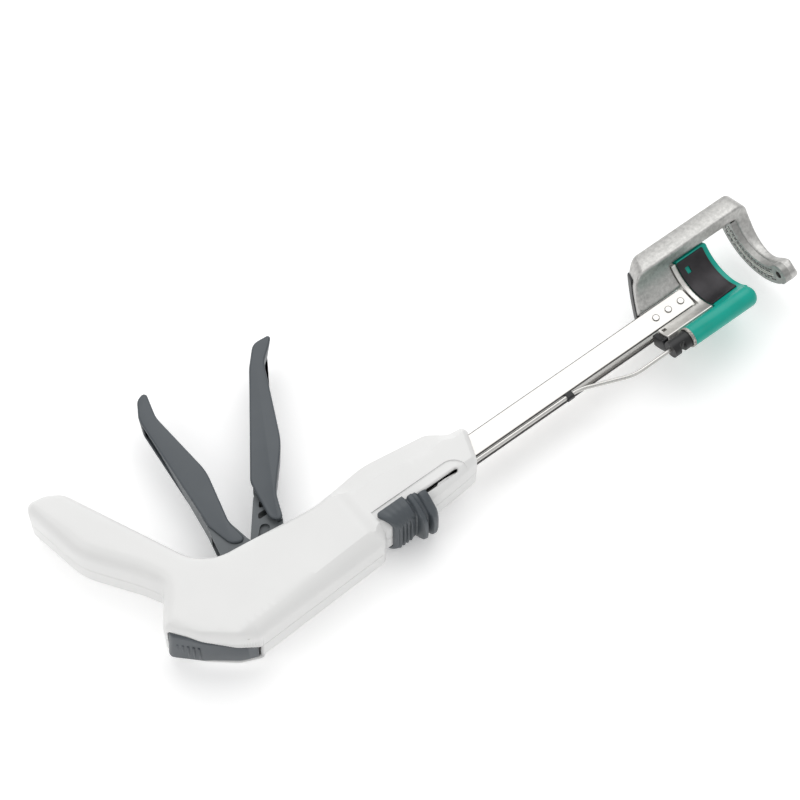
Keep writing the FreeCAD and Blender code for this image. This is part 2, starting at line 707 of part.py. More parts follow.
def arm_window(low, high):
    """A see-through slot between two ribs of the firing arm, at two shares of its lower run."""
    front = Vector(-21.5, 24.0, 0)
    front_end = Vector(-14.0, 38.5, 0)
    back = Vector(-36.5, 23.0, 0)
    back_end = Vector(-23.0, 40.0, 0)
    run = front_end - front
    back_run = back_end - back
    corners = []
    for base, way, share, across in ((back, back_run, low, 2.4), (front, run, low, -2.4),
                                     (front, run, high, -2.4), (back, back_run, high, 2.4)):
        point = base + way * share
        corners.append((point.x + across, point.y, 0.8))
    return rounded(corners)


def sink_panels(body):
    """Shallow panels sunk in both faces of the arm, which leave a rim and ribs standing."""
    panel = [(-33.5, 17.5, 2), (-25.5, 24.5, 2), (-29.5, 27.0, 2), (-37.0, 19.5, 2)]
    for sign, back in (("+", False), ("-", True)):
        sketch = new_sketch(body, "XY_Plane", "mid_height %s firing_arm_half" % sign)
        draw(sketch, rounded(panel))
        pocket(body, sketch, "1.6", back=back)


firing_arm()
pins("firing_drive_pin", [(FIRING_PIN.x, FIRING_PIN.y)], "drive_pin_radius", "2.6")


# Release button at the heel

def release_button():
    """A ribbed thumb wedge that swings on a pin low in the heel, with a latch tail inside."""
    body = new_body("release_button")
    outline = [(-66.0, -20.6, 2), (-79.0, -15.2, 10), (-95.6, -0.6, 5), (-95.0, 5.0, 3), (-91.2, 10.2, 1),
               (-87.5, 9.0, 1), (-66.0, -13.0, 2.5), (-63.0, -15.6, 2.5)]
    pad(body, draw(new_sketch(body, "XY_Plane", "mid_height"), rounded(outline)), "2 * opening_half", both=True)
    tail = [(-78.0, -3.0, 1), (-72.0, -8.0, 1), (-62.5, 1.0, 1), (-61.0, 6.0, 1), (-66.0, 5.0, 1)]
    pad(body, draw(new_sketch(body, "XY_Plane", "mid_height"), rounded(tail)), "4", both=True)
    grooves = new_sketch(body, "XY_Plane", "mid_height")
    first = Vector(-92.2, -3.8, 0)
    along = Vector(13.2, -9.6, 0)
    for step in range(5):
        place = first + along * (step / 4)
        disc(grooves, place.x, place.y, "button_groove_radius")
    pocket(body, grooves)
    hole = new_sketch(body, "XY_Plane", "mid_height")
    disc(hole, BUTTON_PIVOT[0], BUTTON_PIVOT[1], "button_pin_radius", 0.03)
    pocket(body, hole)


release_button()
pins("button_hinge_pin", [BUTTON_PIVOT], "button_pin_radius", "opening_half + 3")


# Saddle slide, push rod, couplet and guide pin: they move as one

def rail_half(offset, end_y):
    """Half the section of the rail behind the nose, grown by an offset, from the edge up to the side face."""
    knee = size("housing_half") - size("bevel_depth")
    slope = size("bevel_depth") / size("bevel_width")
    lean = math.hypot(1, slope)
    side = size("nose_half") + offset
    return [(RAIL_LOW - offset, knee + offset * (lean - slope)),
            (RAIL_LOW + (side - knee - offset * lean) / slope, side), (end_y, side)]


def rail_band(inner, outer, end_y):
    """Closed section of a piece that wraps the rail, between two offsets."""
    near = rail_half(inner, end_y)
    far = rail_half(outer, end_y)
    upper = [(y, MID + height) for y, height in far] + [(y, MID + height) for y, height in reversed(near)]
    lower = [(y, MID - height) for y, height in near] + [(y, MID - height) for y, height in reversed(far)]
    return rounded([(y, height, 0) for y, height in upper + lower])


def saddle_slide():
    """A slide that straddles the rail behind the nose, with grip ribs and a tall front collar."""
    body = new_body("saddle_slide")
    gap = size("moving_gap")
    wall = size("saddle_wall")
    flange = draw(new_sketch(body, "YZ_Plane", "saddle_rear"), rail_band(gap, gap + wall, -4.6))
    pad(body, flange, "saddle_length")
    low = RAIL_LOW - gap - wall
    rib_half = size("housing_half") - size("bevel_depth") + 0.6
    for step in range(4):
        rib = new_sketch(body, "YZ_Plane", "saddle_rear + 1.5 + %g * saddle_rib_pitch" % step)
        draw(rib, rounded([(low - 2.2, MID - rib_half + 2, 1.5), (low + 1, MID - rib_half, 0),
                           (low + 1, MID + rib_half, 0), (low - 2.2, MID + rib_half - 2, 1.5)]))
        pad(body, rib, "saddle_rib_pitch / 2")
    collar = new_sketch(body, "YZ_Plane", "saddle_rear + saddle_length - saddle_collar")
    draw(collar, rail_band(gap, gap + wall + 0.35, -7.0))
    pad(body, collar, "saddle_collar")
    crest = new_sketch(body, "YZ_Plane", "saddle_rear + saddle_length - saddle_collar")
    draw(crest, rounded([(low - 5.0, MID - 7, 4), (low + 1, MID - 10, 0), (low + 1, MID + 10, 0), (low - 5.0, MID + 7, 4)]))
    pad(body, crest, "saddle_collar")
    rear = size("saddle_lug_rear")
    front = size("saddle_lug_front")
    side = size("saddle_slot_side")
    half = size("saddle_slot_half") - 0.3
    lug = draw(new_sketch(body, "XY_Plane", "rod_height - 1.6"), box_edges(rear, front, side - half, side + half))
    pad(body, lug, "mid_height + nose_half + moving_gap + 0.6 - (rod_height - 1.6)")
    clamp = draw(new_sketch(body, "XY_Plane", "rod_height - 1.6"), box_edges(rear, front, side - half, -5.6))
    pad(body, clamp, "3.2")
    bore = new_sketch(body, "YZ_Plane", "saddle_lug_rear - 4")
    disc(bore, size("rod_side"), size("rod_height"), "rod_radius", 0.01)
    pocket(body, bore, "14", back=True)


saddle_slide()


def along_x(label, x, length, radius, y, z, bore=""):
    """A round piece along X, hollow if a bore is named."""
    body = new_body(label)
    sketch = new_sketch(body, "YZ_Plane", x)
    disc(sketch, y, z, radius)
    if bore:
        disc(sketch, y, z, bore)
    pad(body, sketch, length)
    return body


def sweep(label, path, radius, sides=0):
    """A wire along a path, as a closed solid: round, or with a number of flat sides."""
    start = path.Edges[0].valueAt(path.Edges[0].FirstParameter)
    heading = path.Edges[0].tangentAt(path.Edges[0].FirstParameter)
    circle = Part.Circle(start, heading, radius)
    if sides:
        ring = Part.makePolygon([circle.value(2 * math.pi * (step % sides) / sides) for step in range(sides + 1)])
    else:
        ring = Part.Wire(circle.toShape())
    feature = doc.addObject("Part::Feature", label)
    feature.Label = label
    feature.Shape = path.makePipeShell([ring], True, True)
    BODIES.append(feature)
    return feature


def push_rod():
    """Straight beside the shaft, then stepped out to the line of the guide pin."""
    side = size("rod_side")
    height = size("rod_height")
    points = [(size("saddle_lug_rear"), side, height), (size("rod_step_rear"), side, height),
              (size("rod_step_front"), TUBE_Y, TUBE_Z), (size("couplet_rear") + 1.5, TUBE_Y, TUBE_Z)]
    corners = [Vector(*point) for point in points]
    edges = []
    last = corners[0]
    for before, corner, after in zip(corners, corners[1:], corners[2:]):
        back = (before - corner).normalize()
        ahead = (after - corner).normalize()
        half = math.acos(back.dot(ahead)) / 2
        radius = size("rod_bend_radius")
        reach = radius / math.tan(half)
        start = corner + back * reach
        end = corner + ahead * reach
        middle = corner + (back + ahead).normalize() * (radius / math.sin(half) - radius)
        edges.append(Part.LineSegment(last, start).toShape())
        edges.append(Part.Arc(start, middle, end).toShape())
        last = end
    edges.append(Part.LineSegment(last, corners[-1]).toShape())
    sweep("push_rod", Part.Wire(edges), size("rod_radius"))


push_rod()


def couplet():
    """The block that joins the rod to the guide pin; it fits the bore of the pin tube."""
    body = new_body("couplet")
    sketch = new_sketch(body, "YZ_Plane", "couplet_rear")
    disc(sketch, TUBE_Y, TUBE_Z, "tube_bore_radius", -0.3)
    pad(body, sketch, "couplet_front - couplet_rear")
    rear = size("couplet_rear") + 3.5
    fork = rounded([(rear, TUBE_Y - 6, 0), (rear + 3, TUBE_Y - 6, 0), (rear + 3, TUBE_Y - 1.4, 0.8), (rear, TUBE_Y - 1.4, 0.8)])
    pocket(body, draw(new_sketch(body, "XY_Plane", "mid_height"), fork))
    bore = new_sketch(body, "YZ_Plane", "couplet_rear - 1")
    disc(bore, TUBE_Y, TUBE_Z, "rod_radius", 0.01)
    pocket(body, bore, "2.5", back=True)


couplet()
along_x("guide_pin", "couplet_front", "cartridge_face - 1 - couplet_front", "guide_pin_radius", TUBE_Y, TUBE_Z)
along_x("tube_collar", "tube_rear - 2.7", "2.7", "tube_radius", TUBE_Y, TUBE_Z, "tube_bore_radius")


def rod_clip():
    """A small clip on the edge of the plates that the rod runs through."""
    body = new_body("rod_clip")
    side = size("rod_side")
    height = size("rod_height")
    sketch = new_sketch(body, "YZ_Plane", "clip_rear")
    draw(sketch, rounded([(side - 1.9, height - 2.2, 1), (-size("plate_half_height"), height - 2.2, 0),
                          (-size("plate_half_height"), height + 1.2, 0), (side - 1.9, height + 1.2, 1)]))
    disc(sketch, side, height, "rod_radius", 0.1)
    pad(body, sketch, "3.6")


rod_clip()


# Head: crescent pieces about one centre line above the shaft

def staple_places():
    """Radius and angle of each staple: two staggered rows on each side of the knife."""
    span = 2 * size("staple_line_angle")
    pitch = span / STAPLES_IN_ROW
    places = []
    for offset, stagger in STAPLE_ROWS:
        for step in range(STAPLES_IN_ROW):
            angle = -span / 2 + pitch * (step + 0.25 + stagger)
            places.append((size("staple_line_radius") + offset, angle))
    return places


def tangent_slot(radius, angle, length, width, shift=0.0):
    """A small rectangle set along the arc of a row."""
    y, z = polar(radius, angle)
    turn = math.radians(angle)
    along = Vector(math.cos(turn), math.sin(turn), 0)
    across = Vector(math.sin(turn), -math.cos(turn), 0)
    middle = Vector(y, z, 0) + along * shift
    corners = [middle - along * length / 2 - across * width / 2, middle + along * length / 2 - across * width / 2,
               middle + along * length / 2 + across * width / 2, middle - along * length / 2 + across * width / 2]
    return [Part.LineSegment(corners[index], corners[(index + 1) % 4]) for index in range(4)]


def c_frame():
    """One casting: the block round the plates, the spine along the gap and the wall behind the anvil."""
    body = new_body("c_frame")
    inner = size("inner_radius") + 0.3
    outer = size("frame_outer_radius")
    spine = (size("spine_start_angle"), size("spine_end_angle"))
    crescent(body, "frame_rear", "plate_front - frame_rear", inner, outer, -20.0, spine[1])
    crescent(body, "frame_rear", "head_front - frame_rear", inner, outer, *spine)
    back_of_anvil = "anvil_face + anvil_thickness"
    crescent(body, back_of_anvil, "head_front - anvil_face - anvil_thickness", inner, outer, -52.0, spine[1])
    tip = new_sketch(body, "YZ_Plane", back_of_anvil)
    disc(tip, TUBE_Y, TUBE_Z, "tube_radius")
    pad(body, tip, "head_front - anvil_face - anvil_thickness")
    half = size("plate_half_height") + size("fit_gap")
    floor = MID - size("plate_gap_half") - size("plate_thickness") - size("fit_gap")
    channel = draw(new_sketch(body, "YZ_Plane", "frame_rear - 1"), box_edges(-half, half, floor, MID + 14))
    pocket(body, channel, "plate_front - frame_rear + 2", back=True)
    corner = new_sketch(body, "XY_Plane", "0")
    rear = size("frame_rear")
    draw(corner, rounded([(rear - 3, 4, 0), (rear, 8, 6), (rear + 5, 20, 8), (rear + 11, 26, 8), (rear + 21, 31, 0),
                          (rear + 21, 40, 0), (rear - 3, 40, 0)]))
    pocket(body, corner)
    holes = new_sketch(body, "XY_Plane", "0")
    for x, y in RIVET_PLACES:
        disc(holes, x, y, "rivet_radius", 0.01)
    pocket(body, holes)
    pin_hole = new_sketch(body, "YZ_Plane", back_of_anvil)
    disc(pin_hole, TUBE_Y, TUBE_Z, "guide_pin_radius", 0.25)
    pocket(body, pin_hole, "head_front - anvil_face", back=True)
    return body


c_frame()


def anvil():
    """The hard face that shapes the staples: a pocket for each leg, and a groove for the strip."""
    body = new_body("anvil")
    inner = size("inner_radius") + 0.8
    crescent(body, "anvil_face", "anvil_thickness", inner, size("outer_radius"), -52.0, 53.5)
    tip = new_sketch(body, "YZ_Plane", "anvil_face")
    disc(tip, TUBE_Y, TUBE_Z, "tube_radius", -0.3)
    pad(body, tip, "anvil_thickness")
    line = size("staple_line_radius")
    angle = size("staple_line_angle")
    crescent(body, "anvil_face", "2.6", line - 0.8, line + 0.8, -angle, angle, cut=True)
    pockets = new_sketch(body, "YZ_Plane", "anvil_face")
    for radius, place in staple_places():
        for shift in (-0.95, 0.95):
            draw(pockets, tangent_slot(radius, place, 1.5, 0.7, shift))
    pocket(body, pockets, "0.5", back=True)
    pin_hole = new_sketch(body, "YZ_Plane", "anvil_face")
    disc(pin_hole, TUBE_Y, TUBE_Z, "guide_pin_radius", 0.25)
    pocket(body, pin_hole, "anvil_thickness", back=True)


def cutting_strip():
    """The soft strip that the knife closes on, grooved along its middle."""
    body = new_body("cutting_strip")
    line = size("staple_line_radius")
    angle = size("staple_line_angle") - 0.3
    crescent(body, "anvil_face", "2.5", line - 0.75, line + 0.75, -angle, angle)
    groove = size("knife_thickness") / 2 + 0.15
    crescent(body, "anvil_face", "2.1", line - groove, line + groove, -angle + 0.5, angle - 0.5, cut=True)


def edge_strip():
    """The dark strip inside the rear edge of the frame."""
    body = new_body("edge_strip")
    inner = size("inner_radius")
    crescent(body, "frame_rear + 3", "2.2", inner - 0.5, inner + 0.3, 22.0, 54.0)


anvil()
cutting_strip()
edge_strip()


def cartridge_housing():
    """The staple cartridge: a hollow crescent with a slotted face and the tube for the guide pin."""
    body = new_body("cartridge_housing")
    inner = size("inner_radius") + 0.9
    line = size("staple_line_radius")
    angle = size("staple_line_angle")
    crescent(body, "cartridge_rear + 0.2", "cartridge_face - cartridge_rear - 0.2", inner,
             size("outer_radius") - 0.5, -55.0, 52.0)
    tube = new_sketch(body, "YZ_Plane", "tube_rear")
    disc(tube, TUBE_Y, TUBE_Z, "tube_radius")
    pad(body, tube, "cartridge_face - tube_rear")
    crescent(body, "cartridge_rear", "cartridge_face - cartridge_rear - face_block",
             inner + 1.2, size("outer_radius") - 1.9, -angle - 0.5, angle + 0.5, cut=True)
    bore = new_sketch(body, "YZ_Plane", "tube_rear")
    disc(bore, TUBE_Y, TUBE_Z, "tube_bore_radius")
    pocket(body, bore, "cartridge_face - tube_rear - 2", back=True)
    mouth = new_sketch(body, "YZ_Plane", "tube_rear")
    disc(mouth, TUBE_Y, TUBE_Z, "guide_pin_radius", 0.3)
    pocket(body, mouth, "cartridge_face - tube_rear", back=True)
    half = size("knife_thickness") / 2 + 0.15
    crescent(body, "cartridge_face - face_block - 1", "face_block + 1",
             line - half, line + half, -angle, angle, cut=True)
    slots = new_sketch(body, "YZ_Plane", "cartridge_face - face_block - 1")
    for radius, place in staple_places():
        draw(slots, tangent_slot(radius, place, size("staple_crown") + 0.6, size("staple_wire") + 0.3))
    pocket(body, slots, "face_block + 1", back=True)
    return body


cartridge_housing()


def cartridge_shield():
    """The dark liner on the hollow side of the cartridge, with a small window."""
    body = new_body("cartridge_shield")
    inner = size("inner_radius")
    crescent(body, "cartridge_rear + 0.2", "cartridge_face - cartridge_rear - 2.7", inner, inner + 0.85, -44.0, 51.5)
    window = draw(new_sketch(body, "XY_Plane", "20"), rounded([(207.5, 8.6, 0.5), (210.0, 8.6, 0.5), (210.0, 11.4, 0.5), (207.5, 11.4, 0.5)]))
    pocket(body, window, "40", both=True)


def cartridge_carrier():
    """The steel piece that joins the cartridge to the closure member, with a wing beside the shaft."""
    body = new_body("cartridge_carrier")
    inner = size("inner_radius") + 1.5
    outer = size("outer_radius") - 1.0
    crescent(body, "cartridge_rear - 2.8", "2.8", inner, outer, -43.0, 50.0)
    crescent(body, "frame_rear + 5", "cartridge_rear - 1 - frame_rear - 5", inner, outer, -42.0, -24.0)
    foot = draw(new_sketch(body, "YZ_Plane", "cartridge_rear - 2.8"),
                box_edges(-size("channel_half_height"), size("channel_half_height"),
                          MID - size("channel_half"), MID + size("channel_half")))
    pad(body, foot, "2.8")
    gap = size("slide_gap")
    window = draw(new_sketch(body, "YZ_Plane", "cartridge_rear - 4"),
                  box_edges(size("bar_low") - gap, size("bar_high") + gap, MID - size("bar_half") - gap, MID + size("bar_half") + gap))
    pocket(body, window, "5", back=True)


def staple_driver():
    body = new_body("staple_driver")
    angle = size("staple_line_angle") - 0.5
    inner = size("inner_radius") + 2.4
    crescent(body, "cartridge_rear + 1.2", "3", inner, size("outer_radius") - 2.2, -angle, angle)


def knife():
    body = new_body("knife")
    half = size("knife_thickness") / 2
    line = size("staple_line_radius")
    angle = size("staple_line_angle") - 2.0
    crescent(body, "cartridge_rear + 4.2", "9.3", line - half, line + half, -angle, angle)


cartridge_shield()
cartridge_carrier()
staple_driver()
knife()


def staples():
    """Open wire staples, crown to the rear and legs towards the anvil, one to each slot."""
    wire = size("staple_wire")
    crown = size("staple_crown")
    rear = size("cartridge_face") - size("face_block") + 0.2
    leg = size("face_block") - 0.6
    made = []
    for radius, angle in staple_places():
        back = Part.makeBox(wire, crown, wire, Vector(rear, -crown / 2, -wire / 2))
        one = Part.makeBox(leg, wire, wire, Vector(rear, -crown / 2, -wire / 2))
        two = Part.makeBox(leg, wire, wire, Vector(rear, crown / 2 - wire, -wire / 2))
        staple = back.fuse([one, two]).removeSplitter()
        y, z = polar(radius, angle)
        staple.Placement = FreeCAD.Placement(Vector(0, y, z), FreeCAD.Rotation(Vector(1, 0, 0), angle))
        made.append(staple)
    feature = doc.addObject("Part::Feature", "staples")
    feature.Label = "staples"
    feature.Shape = Part.makeCompound(made)
    BODIES.append(feature)


staples()


# Return springs

def coil(label, start, length, radius, wire, turns):
    """A compression spring along X, with plain helical turns of six-sided wire."""
    helix = Part.makeHelix(length / turns, length, radius)
    helix.Placement = FreeCAD.Placement(start, FreeCAD.Rotation(Vector(0, 1, 0), 90))
    sweep(label, Part.Wire(helix.Edges), wire, 6)


coil("closure_return_spring", Vector(size("closing_spring_rear"), size("closing_spring_side"), MID),
     size("closing_spring_seat") - size("closing_spring_rear") - 0.5, 2.5, 0.4, 13)
coil("firing_return_spring", Vector(size("firing_spring_rear") + 0.1, size("spring_stop_side"), MID),
     size("spring_stop") - size("rivet_radius") - size("firing_spring_rear") - 0.6, 1.25, 0.25, 18)


# Check and write every piece

def finish():
    doc.recompute()
    for item in doc.Objects:
        if "Invalid" in item.State or "Error" in item.State:
            raise RuntimeError("failed object: %s %s" % (item.Label, item.State))
    for body in BODIES:
        if body.Shape.isNull() or not body.Shape.isValid():
            raise RuntimeError("bad shape: " + body.Label)
        body.Shape.exportStep("parts/%s.step" % body.Label)


finish()
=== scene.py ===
import bmesh
import bpy
import math
import numpy as np
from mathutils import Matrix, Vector
from mathutils.geometry import delaunay_2d_cdt


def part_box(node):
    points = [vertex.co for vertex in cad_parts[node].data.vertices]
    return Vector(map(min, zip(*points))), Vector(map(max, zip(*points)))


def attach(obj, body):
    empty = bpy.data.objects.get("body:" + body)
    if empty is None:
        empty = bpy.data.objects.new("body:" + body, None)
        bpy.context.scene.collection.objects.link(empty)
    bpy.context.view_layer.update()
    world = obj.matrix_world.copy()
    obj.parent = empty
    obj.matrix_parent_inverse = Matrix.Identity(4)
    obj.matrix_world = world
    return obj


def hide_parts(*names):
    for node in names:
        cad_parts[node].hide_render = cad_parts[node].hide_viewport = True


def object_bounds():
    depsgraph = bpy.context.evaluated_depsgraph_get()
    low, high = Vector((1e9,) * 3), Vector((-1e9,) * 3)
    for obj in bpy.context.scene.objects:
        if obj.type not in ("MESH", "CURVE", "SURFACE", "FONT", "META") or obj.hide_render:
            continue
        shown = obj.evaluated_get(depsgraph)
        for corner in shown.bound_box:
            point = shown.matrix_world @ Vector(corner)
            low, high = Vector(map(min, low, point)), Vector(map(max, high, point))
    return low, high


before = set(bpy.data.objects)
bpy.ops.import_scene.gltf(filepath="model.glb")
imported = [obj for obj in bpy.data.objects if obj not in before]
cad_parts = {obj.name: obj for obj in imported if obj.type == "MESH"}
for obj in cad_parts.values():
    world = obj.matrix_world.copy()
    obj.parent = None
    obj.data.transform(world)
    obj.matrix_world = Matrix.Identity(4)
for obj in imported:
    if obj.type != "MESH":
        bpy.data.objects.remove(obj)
cad_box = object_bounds()
MM = 0.001


# ---------------- view and studio
# A white photographic sweep under one large soft box and two small ones, seen
# through a long lens from above the heel side. The floor is pale, uncoated paper.

AIM = Vector((0.059672, 0.040550, 0.016))
TOWARDS_EYE = Vector((-0.2863, -0.3721, 0.8830)).normalized()
EYE_DISTANCE = 1.2
LENS = 117.39
FLOOR_HALF = 6
FLOOR_GLOW = 0.2
SKY_STRENGTH = 0.62
LIT_PLACE = Vector((0.07, 0.04, 0))
# name, place, size in metres and power in watts
SOFT_BOXES = (("soft_box_back", (0.55, 0.75, 1.15), 1.5, 9.5),
              ("soft_box_left", (-0.85, 0.25, 0.95), 0.7, 2.0),
              ("soft_box_front", (0.1, -0.9, 1.1), 0.8, 1.0))
# colour sockets of a mix node
MIX_LOW, MIX_HIGH, MIX_RESULT = 6, 7, 2


def colour(code):
    """Linear colour of an sRGB hex value."""
    parts = [int(code[i:i + 2], 16) / 255 for i in (1, 3, 5)]
    return tuple(c / 12.92 if c <= 0.04045 else ((c + 0.055) / 1.055) ** 2.4 for c in parts) + (1.0,)


def add(tree, kind, links=None, **values):
    """Adds a node, sets its properties and sockets, and joins its inputs to other outputs."""
    made = tree.nodes.new(kind)
    for name, value in values.items():
        if hasattr(made, name):
            setattr(made, name, value)
        else:
            made.inputs[name.replace("_", " ")].default_value = value
    for name, source in (links or {}).items():
        tree.links.new(source, made.inputs[name])
    return made


def surface(name, base, **values):
    """A new material with one shader, whose even values sit on its own sockets."""
    material = bpy.data.materials.new(name)
    material.use_nodes = True
    tree = material.node_tree
    shader = tree.nodes["Principled BSDF"]
    shader.inputs["Base Color"].default_value = colour(base)
    for key, value in values.items():
        shader.inputs[key.replace("_", " ")].default_value = value
    place = add(tree, "ShaderNodeTexCoord")
    return material, tree, shader, place.outputs["Object"]


def noise(tree, here, scale, detail, **values):
    """Noise over the object, as an output from 0 to 1."""
    made = add(tree, "ShaderNodeTexNoise", {"Vector": here}, Scale=scale, Detail=detail, **values)
    return made.outputs["Fac"]


def between(tree, factor, low, high):
    """Output that runs between two colours, each a hex value or another output."""
    mix = add(tree, "ShaderNodeMix", {"Factor": factor}, data_type="RGBA")
    for socket, value in ((mix.inputs[MIX_LOW], low), (mix.inputs[MIX_HIGH], high)):
        if isinstance(value, str):
            socket.default_value = colour(value)
        else:
            tree.links.new(value, socket)
    return mix.outputs[MIX_RESULT]


def tinted(tree, shader, factor, low, high):
    """Gives a shader a base colour that wanders between two."""
    tree.links.new(between(tree, factor, low, high), shader.inputs["Base Color"])


def relief(tree, shader, height, strength, depth):
    """Gives a shader the fine unevenness of its skin, with the depth in metres."""
    bump = add(tree, "ShaderNodeBump", {"Height": height}, Strength=strength, Distance=depth)
    tree.links.new(bump.outputs["Normal"], shader.inputs["Normal"])


def paint(node_names, material):
    """Gives a finish to CAD nodes that stay in view."""
    for node_name in node_names:
        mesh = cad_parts[node_name].data
        mesh.materials.clear()
        mesh.materials.append(material)


eye = bpy.data.cameras.new("eye")
eye.lens = LENS
eye.sensor_width = 36
eye.clip_start = 0.05
eye.clip_end = 30
camera = bpy.data.objects.new("eye", eye)
bpy.context.scene.collection.objects.link(camera)
camera.location = AIM + TOWARDS_EYE * EYE_DISTANCE
camera.rotation_euler = (-TOWARDS_EYE).to_track_quat("-Z", "Y").to_euler()
bpy.context.scene.camera = camera
bpy.context.scene.view_settings.view_transform = "Standard"

# Uncoated paper: quite matt, with a tooth too fine to see, and bright to its far edge.
paper, tree, shader, here = surface("studio_paper", "#FFFFFF", Roughness=0.9)
relief(tree, shader, noise(tree, here, 900.0, 3.0), 0.04, 0.0002)
shader.inputs["Emission Color"].default_value = (1, 1, 1, 1)
shader.inputs["Emission Strength"].default_value = FLOOR_GLOW
sweep = bpy.data.meshes.new("floor")
sweep.from_pydata([(-FLOOR_HALF, -FLOOR_HALF, 0), (FLOOR_HALF, -FLOOR_HALF, 0),
                   (FLOOR_HALF, FLOOR_HALF, 0), (-FLOOR_HALF, FLOOR_HALF, 0)], [], [(0, 1, 2, 3)])
sweep.materials.append(paper)
floor = bpy.data.objects.new("floor", sweep)
bpy.context.scene.collection.objects.link(floor)
floor.location.z = cad_box[0][2]

for name, spot, size, power in SOFT_BOXES:
    lamp = bpy.data.lights.new(name, "AREA")
    lamp.size = size
    lamp.energy = power
    lit = bpy.data.objects.new(name, lamp)
    bpy.context.scene.collection.objects.link(lit)
    lit.location = spot
    lit.rotation_euler = (LIT_PLACE - Vector(spot)).to_track_quat("-Z", "Y").to_euler()
world = bpy.data.worlds.new("studio")
world.use_nodes = True
world.node_tree.nodes["Background"].inputs["Color"].default_value = (1, 1, 1, 1)
world.node_tree.nodes["Background"].inputs["Strength"].default_value = SKY_STRENGTH
bpy.context.scene.world = world


# ---------------- housing shells
# Two injection-moulded shells of white ABS that meet at the middle of the
# thickness and are screwed together from the side that faces down. Each side
# face rolls over into the wall, softly at the grip and in a crisp chamfer at the hump.

# corner x, y, corner radius, width of the bevel there, and how crisp its crease is
HOUSING_CORNERS = [
    (59.0, -10.8, 3.0, 3.2, 0.6), (65.2, -9.8, 2.5, 2.6, 0.4), (71.0, 5.2, 2.5, 2.8, 0.4),
    (70.2, 8.4, 1.2, 3.2, 0.8), (63.0, 9.4, 8.0, 4.6, 1.0), (54.5, 15.6, 8.0, 9.6, 1.0),
    (22.0, 20.2, 40.0, 9.2, 1.0), (-6.0, 16.9, 30.0, 3.6, 0.6), (-62.6, 22.5, 22.0, 3.0, 0.0),
    (-92.0, 89.0, 12.0, 3.4, 0.0), (-98.8, 93.6, 9.0, 3.8, 0.0), (-110.9, 96.3, 5.2, 4.6, 0.0),
    (-104.5, 60.0, 30.0, 7.0, 0.0), (-88.0, 36.0, 20.0, 7.0, 0.0), (-82.5, 26.0, 6.0, 6.5, 0.0),
    (-94.8, 9.0, 2.5, 5.0, 0.2), (-84.5, -5.0, 12.0, 2.6, 0.0), (-72.5, -15.2, 12.0, 2.8, 0.0),
    (-63.5, -19.6, 5.0, 6.0, 0.2), (7.5, -17.0, 4.0, 7.0, 0.5), (11.0, -12.2, 2.0, 4.2, 0.8),
    (42.0, -12.2, 20.0, 4.2, 0.8),
]
MID = 16.0  # height of the seam, and half the thickness
SHELL_WALL = 1.8
NOSE_TAPER = (1.0, 9.6, 2.8)  # x where the side face sinks, over what run, how far
RAIL_REAR = 10.6
RAIL_END = (51.2, -10.0, 8.0)  # x, y and radius of the rail's round end
RAIL_STEP = 0.7  # how far the rail's face lies below the side face
STEP_WIDTH = 0.12
TRIGGER_MOUTH = (-66.0, -16.5, 12, 8.2)  # rear, front, lowest y and half height
NOSE_MOUTH = (60, 5.35, 5.3)  # least x, half width and half height
HEEL_MOUTH = [(-95.9, 3.6), (-62.0, -27), (-62.0, -12.5), (-80, 12.5), (-87.7, 15.0)]
HEEL_HALF = (10.7, 10.4, 12.2)  # at the heel, lost by the toe, and on the lower shell
HEEL_TAPER = (-88.0, 25.0)  # x where the mouth starts to close, and its run
ROD_MOUTH = (-8.0, -5.35, 2.7, 5.3)  # y from and to, and heights of the rod's opening
SEAM_GROOVE = (0.35, 0.22)  # height and depth of the shadow line at the seam
BEVEL_FOOT = 9.0  # lowest level that a rolled edge may reach
MOUTH_REACH = 8.0  # how far in a mouth lifts the foot of the edge
LEAST_BAND = 0.3  # thinnest wall over a mouth
SCREW_FLOOR = 11.0
SCREW_RADIUS = 2.95
SCREW_PLACES = [(-100.5, 89.0), (-86.0, 50.0), (-72.5, 21.0), (23.5, 15.2), (54.0, 11.0)]
SADDLE_SLOT = (22.0, 55.0, -8.2, 1.15)  # rear and front x, y, and half height
RING_SHARES = (0.03, 0.09, 0.17, 0.27, 0.39, 0.52, 0.66, 0.82, 1.0)
NET_PITCH = (4.0, 3.4)
NOSE_PITCH = (1.25, 1.3)

# White ABS from a finely sparked tool: nearly neutral, faintly uneven from the
# flow, with a broad soft sheen instead of a sharp reflection.
abs_white, tree, shader, here = surface("moulded_white_abs", "#DFDFDE", Roughness=0.36, IOR=1.53,
                                        Specular_IOR_Level=0.45)
tinted(tree, shader, noise(tree, here, 38.0, 2.0), "#E3E3E2", "#EAEAE9")
relief(tree, shader, noise(tree, here, 2600.0, 2.0), 0.05, 0.00005)


def clamped(value):
    """A share kept from 0 to 1."""
    return min(1.0, max(0.0, value))


def eased(share):
    """A share that starts and ends gently."""
    share = clamped(share)
    return share * share * (3 - 2 * share)


